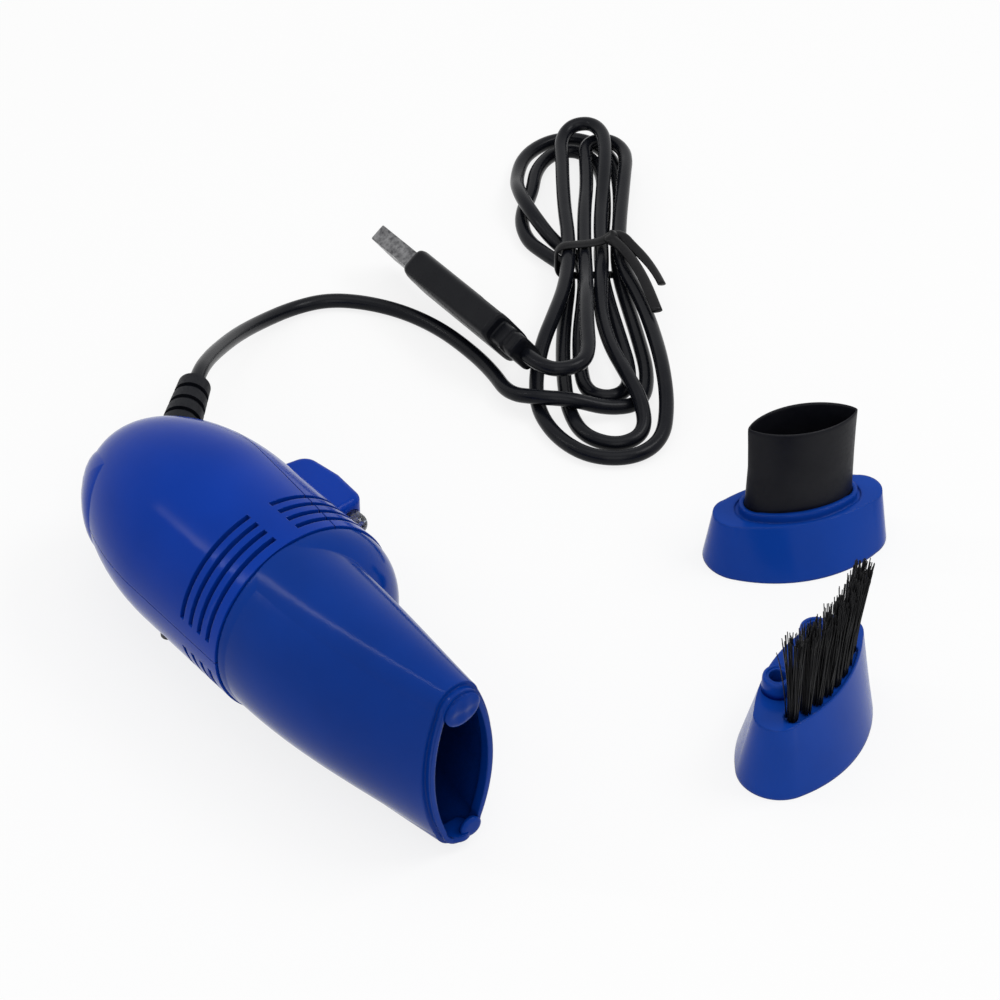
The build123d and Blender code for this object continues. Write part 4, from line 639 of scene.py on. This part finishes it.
# The tufts, in metres: how far they lean along the row from first to last, and how much shorter the
# last is. Each strand's lean out of its tuft, and how much leans, lengths and sways differ.
TUFTS = 8
TUFT_RADIUS = 0.0012
TUFT_FAN = (-0.0012, 0.0032)
TUFT_SHORTER = 0.0016
TUFT_UNEVEN = 0.0005
STRAND_SIDES = 4
STRAND_RADIUS = 0.00017
STRAND_ROOT = 0.0004
STRAND_TRIM = 0.0006
STRAND_LEAN = 0.0007
STRAND_LEAN_MORE = 0.0008
STRAND_LEAN_UNEVEN = 0.0003
STRAND_LENGTH_UNEVEN = 0.018
STRAND_SWAY = 0.00022
STRAY_SHARE = 0.015
STRAY_LEAN = 2.4
STRAY_LENGTH = 0.93
RANDOM_START = 7
GOLDEN_ANGLE = math.radians(137.508)


def tuft_roots():
    """Centres of the tufts: along is evenly spaced, and across follows the head's curved side,
    side = 8.3 (1 - 0.75 (along / 20.3)^2) less 2.1 mm."""
    along = np.linspace(-0.0145, 0.0105, TUFTS)
    side = 0.0083 * (1 - 0.75 * (along / 0.0203) ** 2) - 0.0021
    return along, side


def bristle_strands(per_tuft, length):
    """Tapered strands: along its height w from 0 to 1 a strand leans out as w^1.5 times its own lean,
    and sways by a sine of w; its radius falls by a third at the tip, and the tufts fan out along the
    row and grow shorter at its far end."""
    rng = np.random.default_rng(RANDOM_START)
    count = TUFTS * per_tuft
    along, side = tuft_roots()
    number = np.arange(per_tuft)
    spread = TUFT_RADIUS * np.sqrt((number + 0.5) / per_tuft)
    angle = number * GOLDEN_ANGLE
    root_along = (along[:, None] + spread * np.sin(angle)).ravel()
    root_across = (side[:, None] + spread * np.cos(angle)).ravel()
    from_middle = np.stack([np.tile(np.cos(angle), TUFTS), np.tile(np.sin(angle), TUFTS)], axis=-1)
    lean = from_middle * (STRAND_LEAN + STRAND_LEAN_MORE * rng.random((count, 1)))
    lean += rng.normal(0, STRAND_LEAN_UNEVEN, (count, 2))
    lean[:, 1] += np.repeat(np.linspace(*TUFT_FAN, TUFTS), per_tuft)
    stray = rng.random(count) > 1 - STRAY_SHARE
    lean[stray] *= STRAY_LEAN
    tall = length * (1 + rng.normal(0, STRAND_LENGTH_UNEVEN, count)) - STRAND_TRIM
    falling = TUFT_SHORTER * np.linspace(0, 1, TUFTS) ** 3
    tall += np.repeat(rng.normal(0, TUFT_UNEVEN, TUFTS) - falling, per_tuft)
    tall[stray] *= STRAY_LENGTH
    w = np.linspace(0, 1, 8)[None, :]
    sway = rng.normal(0, STRAND_SWAY, (count, 1)) * np.sin(w * 4 + rng.random((count, 1)) * 6)
    across = root_across[:, None] + lean[:, :1] * w ** 1.5 + sway
    forward = root_along[:, None] + lean[:, 1:] * w ** 1.5 - sway * 0.6
    up = BRUSH_TOP - STRAND_ROOT + tall[:, None] * w
    centre = np.stack([across, forward, up], axis=-1)
    radius = STRAND_RADIUS * (1 - 0.3 * w ** 2)
    turn = once_round(STRAND_SIDES)
    ring = np.stack([np.cos(turn), np.sin(turn), np.zeros(STRAND_SIDES)], axis=-1)
    return centre[:, :, None, :] + ring[None, None] * radius[..., None, None]


def strand_faces(count, steps, sides):
    """Faces of that many separate strands, each with its sides, its tip and its foot closed."""
    first = np.arange(count) * steps * sides
    one = np.array(grid_faces(steps, sides, wrap_columns=True))
    walls = (one[None] + first[:, None, None]).reshape(-1, 4)
    tips = first[:, None] + (steps - 1) * sides + np.arange(sides)
    feet = first[:, None] + np.arange(sides)[::-1]
    return walls.tolist() + tips.tolist() + feet.tolist()


def standing(points, x, y, turn):
    """From a loose head's own place to the row's frame. Its length runs along local Y, and is turned
    to this angle."""
    cosine = math.cos(turn - math.pi / 2)
    sine = math.sin(turn - math.pi / 2)
    across = points[..., 0] * cosine - points[..., 1] * sine
    along = points[..., 0] * sine + points[..., 1] * cosine
    return np.stack([across + RIM_X + x, along + AXIS_Y + y, points[..., 2]], axis=-1)


# The flat tube's head stands here. Stations of the tube, in millimetres, up the outside and down the
# inside: height, half length, half width, and how far its centre lies along the head
ADAPTOR_X = 0.0295
ADAPTOR_Y = 0.1180
ADAPTOR_TURN = math.radians(67.4)
TUBE_STATIONS = (
    (7.7, 12.88, 5.48, 0.0), (14.6, 13.0, 5.5, 0.0), (17.0, 12.85, 5.5, 0.0), (26.0, 12.75, 5.6, 0.0),
    (32.0, 12.9, 5.6, -0.15), (36.2, 13.05, 5.55, -0.25), (36.95, 13.05, 5.5, -0.25),
    (37.2, 12.9, 5.35, -0.25), (37.15, 12.65, 5.05, -0.25), (36.6, 12.5, 4.9, -0.25),
    (30.0, 12.2, 4.85, -0.1), (20.0, 11.9, 4.8, 0.0), (7.7, 11.8, 4.7, 0.0),
)


def flat_tube():
    """The soft tube: at each height y = l cos(a), x = w |sin(a)|^e, where e runs from 1, an oval, at
    the foot to 1.45, nearly pointed at both ends, at the mouth."""
    height, half_length, half_width, shift = np.array(TUBE_STATIONS).T[..., None] / 1000
    turn = once_round(128)
    power = 1.0 + 0.45 * eased(height, 0.014, 0.037)
    x = half_width * powered(np.sin(turn), power)
    y = half_length * np.cos(turn) + shift
    return np.stack([x, y, height * np.ones_like(x)], axis=-1)


# Places of the brush's two air posts, along and across the head, in metres, and the stations of their
# collars, in millimetres: height over the head, radius, distance of the flat side
POST_PLACES = ((-0.0080, -0.0034), (0.0095, -0.0032))
COLLAR_STATIONS = (
    (-0.3, 3.75, 2.75), (1.5, 3.65, 2.7), (3.2, 3.6, 2.65), (3.7, 3.5, 2.55), (3.95, 3.3, 2.4),
    (4.0, 3.0, 2.2), (3.9, 2.75, 2.0), (3.5, 2.6, 1.9), (2.6, 2.6, 1.9),
)


def post_collar(across, along):
    """A D-shaped collar on an air post: a circle whose side towards the bristles is cut flat, with
    rounded edges, up the outside and down the inside."""
    height, radius, flat = np.array(COLLAR_STATIONS).T[..., None] / 1000
    turn = once_round(72)
    x = np.minimum(radius * np.cos(turn), flat)
    y = radius * np.sin(turn)
    return np.stack([x + across, y + along, (height + BRUSH_TOP) * np.ones_like(x)], axis=-1)


class VACUUM_OT_housing(bpy.types.Operator):
    """Dresses the two shells, the cover and the tail cap."""

    bl_idname = "vacuum.housing"
    bl_label = "Housing"

    def execute(self, context):
        blue = moulded_plastic("glossy_blue_housing", settings().body_colour, gloss=0.14,
                               edge=0.0003, specular=0.07)
        dress(("upper_shell", "lower_shell", "top_cover", "tail_cap"), blue)
        leaf = closed_piece("tail_leaf", tail_patch(), blue)
        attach(leaf, "housing")
        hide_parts("tail_cap")
        dress(("housing_screws",), metal("dark_screw_steel", (0.05, 0.05, 0.055), 0.45))
        return {"FINISHED"}


class VACUUM_OT_nozzle(bpy.types.Operator):
    """Dresses the nozzle and the filter inside it."""

    bl_idname = "vacuum.nozzle"
    bl_label = "Nozzle and filter"

    def execute(self, context):
        # The nozzle's inside is painted dark with painted shade, within 0.03 m of its own walls
        deep_blue = moulded_plastic("deep_blue_nozzle", settings().nozzle_colour, gloss=0.13,
                                    edge=0.0006, specular=0.08, hollow=0.03)
        dress(("nozzle",), deep_blue)
        for name, *sizes in MOUTH_BOSSES:
            boss = closed_piece(name, mouth_boss(*sizes), deep_blue)
            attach(boss, "nozzle")
        dress(("filter_frame",), moulded_plastic("dark_filter_frame", (0.03, 0.03, 0.034), gloss=0.4))
        dress(("filter_mesh",), woven_cloth("filter_cloth", (0.6, 0.6, 0.57)))
        return {"FINISHED"}


class VACUUM_OT_lamp_and_switch(bpy.types.Operator):
    """Dresses the lamp and the slide switch."""

    bl_idname = "vacuum.lamp_and_switch"
    bl_label = "Lamp and switch"

    def execute(self, context):
        # The lamp's blue-grey tint is a painted reflection of the housing
        dress(("lamp_led",), clear_resin("clear_lamp_resin"))
        black = moulded_plastic("black_switch", (0.008, 0.008, 0.009), gloss=0.35)
        dress(("switch_slider", "switch_body"), black)
        return {"FINISHED"}


class VACUUM_OT_works(bpy.types.Operator):
    """Dresses the motor, the fan and what carries them."""

    bl_idname = "vacuum.works"
    bl_label = "Motor and fan"

    def execute(self, context):
        steel = metal("drawn_motor_steel", (0.62, 0.63, 0.65), 0.28)
        dress(("motor_can", "motor_shaft", "shroud_screws", "motor_screws"), steel)
        dress(("motor_terminals", "plug_contacts"), metal("brass_contacts", (0.75, 0.55, 0.22), 0.25))
        dress(("motor_endcap",), moulded_plastic("black_end_cap", (0.01, 0.01, 0.011), gloss=0.4))
        dress(("fan_impeller",), moulded_plastic("white_fan", (0.72, 0.72, 0.7), gloss=0.4))
        grey = moulded_plastic("grey_frame_plastic", (0.07, 0.07, 0.075), gloss=0.4)
        dress(("fan_shroud", "motor_mount"), grey)
        dress(("lead_wires",), rubber("red_lead_wire", (0.4, 0.012, 0.01), gloss=0.4))
        return {"FINISHED"}


class VACUUM_OT_cable(bpy.types.Operator):
    """Makes the cable, from the strain relief through the hank to the plug."""

    bl_idname = "vacuum.cable"
    bl_label = "Cable and tie"

    def execute(self, context):
        black = rubber("black_cable_jacket", settings().cable_colour, gloss=0.24)
        curve = bpy.data.curves.new("usb_cable", "CURVE")
        curve.dimensions = "3D"
        curve.resolution_u = 10
        curve.bevel_depth = settings().cable_diameter / 2
        curve.bevel_resolution = 5
        curve.use_fill_caps = True
        route = FREE_ROUTE + HANK_ROUTE + TAIL_ROUTE
        spline = curve.splines.new("NURBS")
        spline.points.add(len(route) - 1)
        spline.points.foreach_set("co", [value for point in route for value in (*place(*point), 1.0)])
        spline.order_u = 3
        spline.use_endpoint_u = True
        curve.materials.append(black)
        cable = bpy.data.objects.new("usb_cable", curve)
        context.scene.collection.objects.link(cable)
        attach(cable, "housing")
        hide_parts("cord_free", "cord_hank", "cord_tail")
        film = rubber("black_tie_film", (0.005, 0.005, 0.006), gloss=0.26, grain=700.0)
        dress(("twist_tie",), film)
        tie = closed_piece("tie_band", tie_band(), film)
        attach(tie, "housing")
        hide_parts("twist_tie")
        dress(("strain_relief",), rubber("black_relief_rubber", settings().cable_colour, gloss=0.5))
        return {"FINISHED"}


class VACUUM_OT_plug(bpy.types.Operator):
    """Dresses the plug's grip, sleeve and tongue."""

    bl_idname = "vacuum.plug"
    bl_label = "Plug"

    def execute(self, context):
        black = rubber("black_plug_grip", shade(settings().cable_colour, 0.75), gloss=0.32)
        dress(("plug_overmould",), black)
        grip = closed_piece("plug_grip", plug_grip(), black)
        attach(grip, "housing")
        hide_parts("plug_overmould")
        # The sleeve's dark, mottled tone is painted shade and painted dark reflections
        dress(("plug_shell",), nickel_with_painted_shade("nickel_sleeve", (0.06, 0.06, 0.064), (0.24, 0.24, 0.245)))
        dress(("plug_tongue",), moulded_plastic("white_tongue", (0.75, 0.75, 0.73), gloss=0.4))
        return {"FINISHED"}


class VACUUM_OT_adaptor(bpy.types.Operator):
    """Dresses the flat tube and its blue foot."""

    bl_idname = "vacuum.adaptor"
    bl_label = "Flat tube head"

    def execute(self, context):
        blue = moulded_plastic("blue_head", settings().head_colour, gloss=0.2, edge=0.0009, specular=0.09)
        dress(("adaptor_base",), blue)
        soft_black = rubber("soft_black_tube", (0.004, 0.0043, 0.007), gloss=0.38, grain=900.0)
        dress(("crevice_tube",), soft_black)
        rings = standing(flat_tube(), ADAPTOR_X, ADAPTOR_Y, ADAPTOR_TURN)
        tube = looped_piece("flat_tube", rings, soft_black)
        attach(tube, "housing")
        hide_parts("crevice_tube")
        return {"FINISHED"}


class VACUUM_OT_brush(bpy.types.Operator):
    """Dresses the brush's foot and makes its bristles."""

    bl_idname = "vacuum.brush"
    bl_label = "Brush head"

    def execute(self, context):
        blue = moulded_plastic("blue_brush_head", settings().head_colour, gloss=0.2,
                               edge=0.0009, specular=0.09)
        dress(("brush_base",), blue)
        for number, (along, across) in enumerate(POST_PLACES):
            rings = standing(post_collar(across, along), BRUSH_X, BRUSH_Y, BRUSH_TURN)
            collar = looped_piece("air_post_%d" % (number + 1), rings, blue)
            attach(collar, "housing")
        black = rubber("black_bristle", (0.006, 0.006, 0.007), gloss=0.35, grain=3000.0, depth=0.000005)
        strands = bristle_strands(settings().bristles_per_tuft, settings().bristle_length)
        points = standing(strands, BRUSH_X, BRUSH_Y, BRUSH_TURN)
        bristles = new_piece("bristle_tufts", points, strand_faces(*points.shape[:3]), black)
        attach(bristles, "housing")
        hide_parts("brush_bristles")
        return {"FINISHED"}


# The table, and the photograph's point of view given from the rim, in metres. Lights: name, offset
# from the target, size, power in watts.
TABLE_HALF_SIDE = 3.0
TABLE_HEIGHT = -0.0002
VIEW_FROM = (0.4323, -0.2933, 0.4930)
VIEW_TARGET = (-0.0256, 0.0749, 0)
LENS_LENGTH = 117.5
WORLD_STRENGTH = 0.55
TABLE_GLOW = 0.82
OTHER_LIGHTS = (
    ("strip", (-0.50, -0.52, 0.66), (0.045, 0.42), 0.6),
    ("fill", (0.7, -0.5, 0.7), (0.6, 0.6), 1.6),
    ("top", (0.0, 0.0, 1.2), (0.9, 0.9), 3.0),
)


class VACUUM_OT_stage(bpy.types.Operator):
    """Makes the table, the lights, the world and the camera."""

    bl_idname = "vacuum.stage"
    bl_label = "Stage"

    def execute(self, context):
        scene = context.scene
        corners = np.array([[-1, -1], [1, -1], [1, 1], [-1, 1]]) * TABLE_HALF_SIDE
        corners = np.column_stack([corners, np.full(4, TABLE_HEIGHT)])
        table = new_piece("table", corners, [[0, 1, 2, 3]], self.table_material(), smooth=False)
        target = place(*VIEW_TARGET)
        key = ("key", (0.35, 0.5, 0.9), (0.5, 0.35), settings().key_power)
        for name, offset, (wide, deep), power in (key, *OTHER_LIGHTS):
            lamp = bpy.data.lights.new(name, "AREA")
            lamp.shape = "RECTANGLE"
            lamp.size = wide
            lamp.size_y = deep
            lamp.energy = power
            light = bpy.data.objects.new(name, lamp)
            light.location = target + Vector(offset)
            light.rotation_euler = (-Vector(offset)).to_track_quat("-Z", "Y").to_euler()
            scene.collection.objects.link(light)
        self.world(scene)
        lens = bpy.data.cameras.new("photograph_view")
        lens.lens = LENS_LENGTH
        lens.sensor_width = 36.0
        lens.clip_start = 0.02
        camera = bpy.data.objects.new("photograph_view", lens)
        camera.location = place(*VIEW_FROM)
        camera.rotation_euler = (target - camera.location).to_track_quat("-Z", "Y").to_euler()
        scene.collection.objects.link(camera)
        scene.camera = camera
        scene.view_settings.view_transform = "Standard"
        return {"FINISHED"}

    def bright_rays(self, tree, paths):
        """1 for the rays that see the white background: the camera's, gloss and clear things."""
        total = paths.outputs["Is Camera Ray"]
        for ray in ("Is Glossy Ray", "Is Transmission Ray"):
            total = larger(tree, total, paths.outputs[ray])
        return total

    def table_material(self):
        """A pale matt table that the camera and shiny things see as nearly white, with its shadows kept."""
        material, tree, shader, where = fresh_material("pale_table")
        shader.inputs["Roughness"].default_value = 0.9
        shader.inputs["Specular IOR Level"].default_value = 0.1
        slow = ranged(tree, noise(tree, where, 3.0), 0, 1)
        tone = blended(tree, slow, (0.86, 0.86, 0.86), (0.88, 0.88, 0.88))
        tree.links.new(tone, shader.inputs["Base Color"])
        glow = tree.nodes.new("ShaderNodeEmission")
        paths = tree.nodes.new("ShaderNodeLightPath")
        share = tree.nodes.new("ShaderNodeMath")
        share.operation = "MULTIPLY"
        share.inputs[1].default_value = TABLE_GLOW
        tree.links.new(self.bright_rays(tree, paths), share.inputs[0])
        mix = tree.nodes.new("ShaderNodeMixShader")
        tree.links.new(share.outputs["Value"], mix.inputs["Fac"])
        tree.links.new(shader.outputs["BSDF"], mix.inputs[1])
        tree.links.new(glow.outputs["Emission"], mix.inputs[2])
        tree.links.new(mix.outputs["Shader"], tree.nodes["Material Output"].inputs["Surface"])
        return material

    def world(self, scene):
        """A soft grey world for light, and white for what the camera, gloss and clear things see."""
        world = bpy.data.worlds.new("studio")
        world.use_nodes = True
        tree = world.node_tree
        soft = tree.nodes["Background"]
        soft.inputs["Color"].default_value = (1, 1, 1, 1)
        soft.inputs["Strength"].default_value = WORLD_STRENGTH
        white = tree.nodes.new("ShaderNodeBackground")
        white.inputs["Strength"].default_value = 1.0
        white.inputs["Color"].default_value = (1, 1, 1, 1)
        paths = tree.nodes.new("ShaderNodeLightPath")
        mix = tree.nodes.new("ShaderNodeMixShader")
        tree.links.new(self.bright_rays(tree, paths), mix.inputs["Fac"])
        tree.links.new(soft.outputs["Background"], mix.inputs[1])
        tree.links.new(white.outputs["Background"], mix.inputs[2])
        tree.links.new(mix.outputs["Shader"], tree.nodes["World Output"].inputs["Surface"])
        scene.world = world


class VACUUM_PT_panel(bpy.types.Panel):
    """Lists the pieces and their settings."""

    bl_idname = "VACUUM_PT_panel"
    bl_label = "Desk vacuum"
    bl_space_type = "VIEW_3D"
    bl_region_type = "UI"
    bl_category = "Desk vacuum"

    def draw(self, context):
        for name in VacuumSettings.__annotations__:
            self.layout.prop(context.scene.desk_vacuum, name)
        for operator in STEPS:
            self.layout.operator(operator.bl_idname)


STEPS = (VACUUM_OT_housing, VACUUM_OT_nozzle, VACUUM_OT_lamp_and_switch, VACUUM_OT_works, VACUUM_OT_plug,
         VACUUM_OT_cable, VACUUM_OT_adaptor, VACUUM_OT_brush, VACUUM_OT_stage)


def register():
    for item in (VacuumSettings, *STEPS, VACUUM_PT_panel):
        bpy.utils.register_class(item)
    bpy.types.Scene.desk_vacuum = PointerProperty(type=VacuumSettings)


def unregister():
    del bpy.types.Scene.desk_vacuum
    for item in (VACUUM_PT_panel, *reversed(STEPS), VacuumSettings):
        bpy.utils.unregister_class(item)


def main():
    """Runs every step."""
    register()
    for step in STEPS:
        group, call = step.bl_idname.split(".")
        getattr(getattr(bpy.ops, group), call)()


if __name__ == "__main__":
    main()
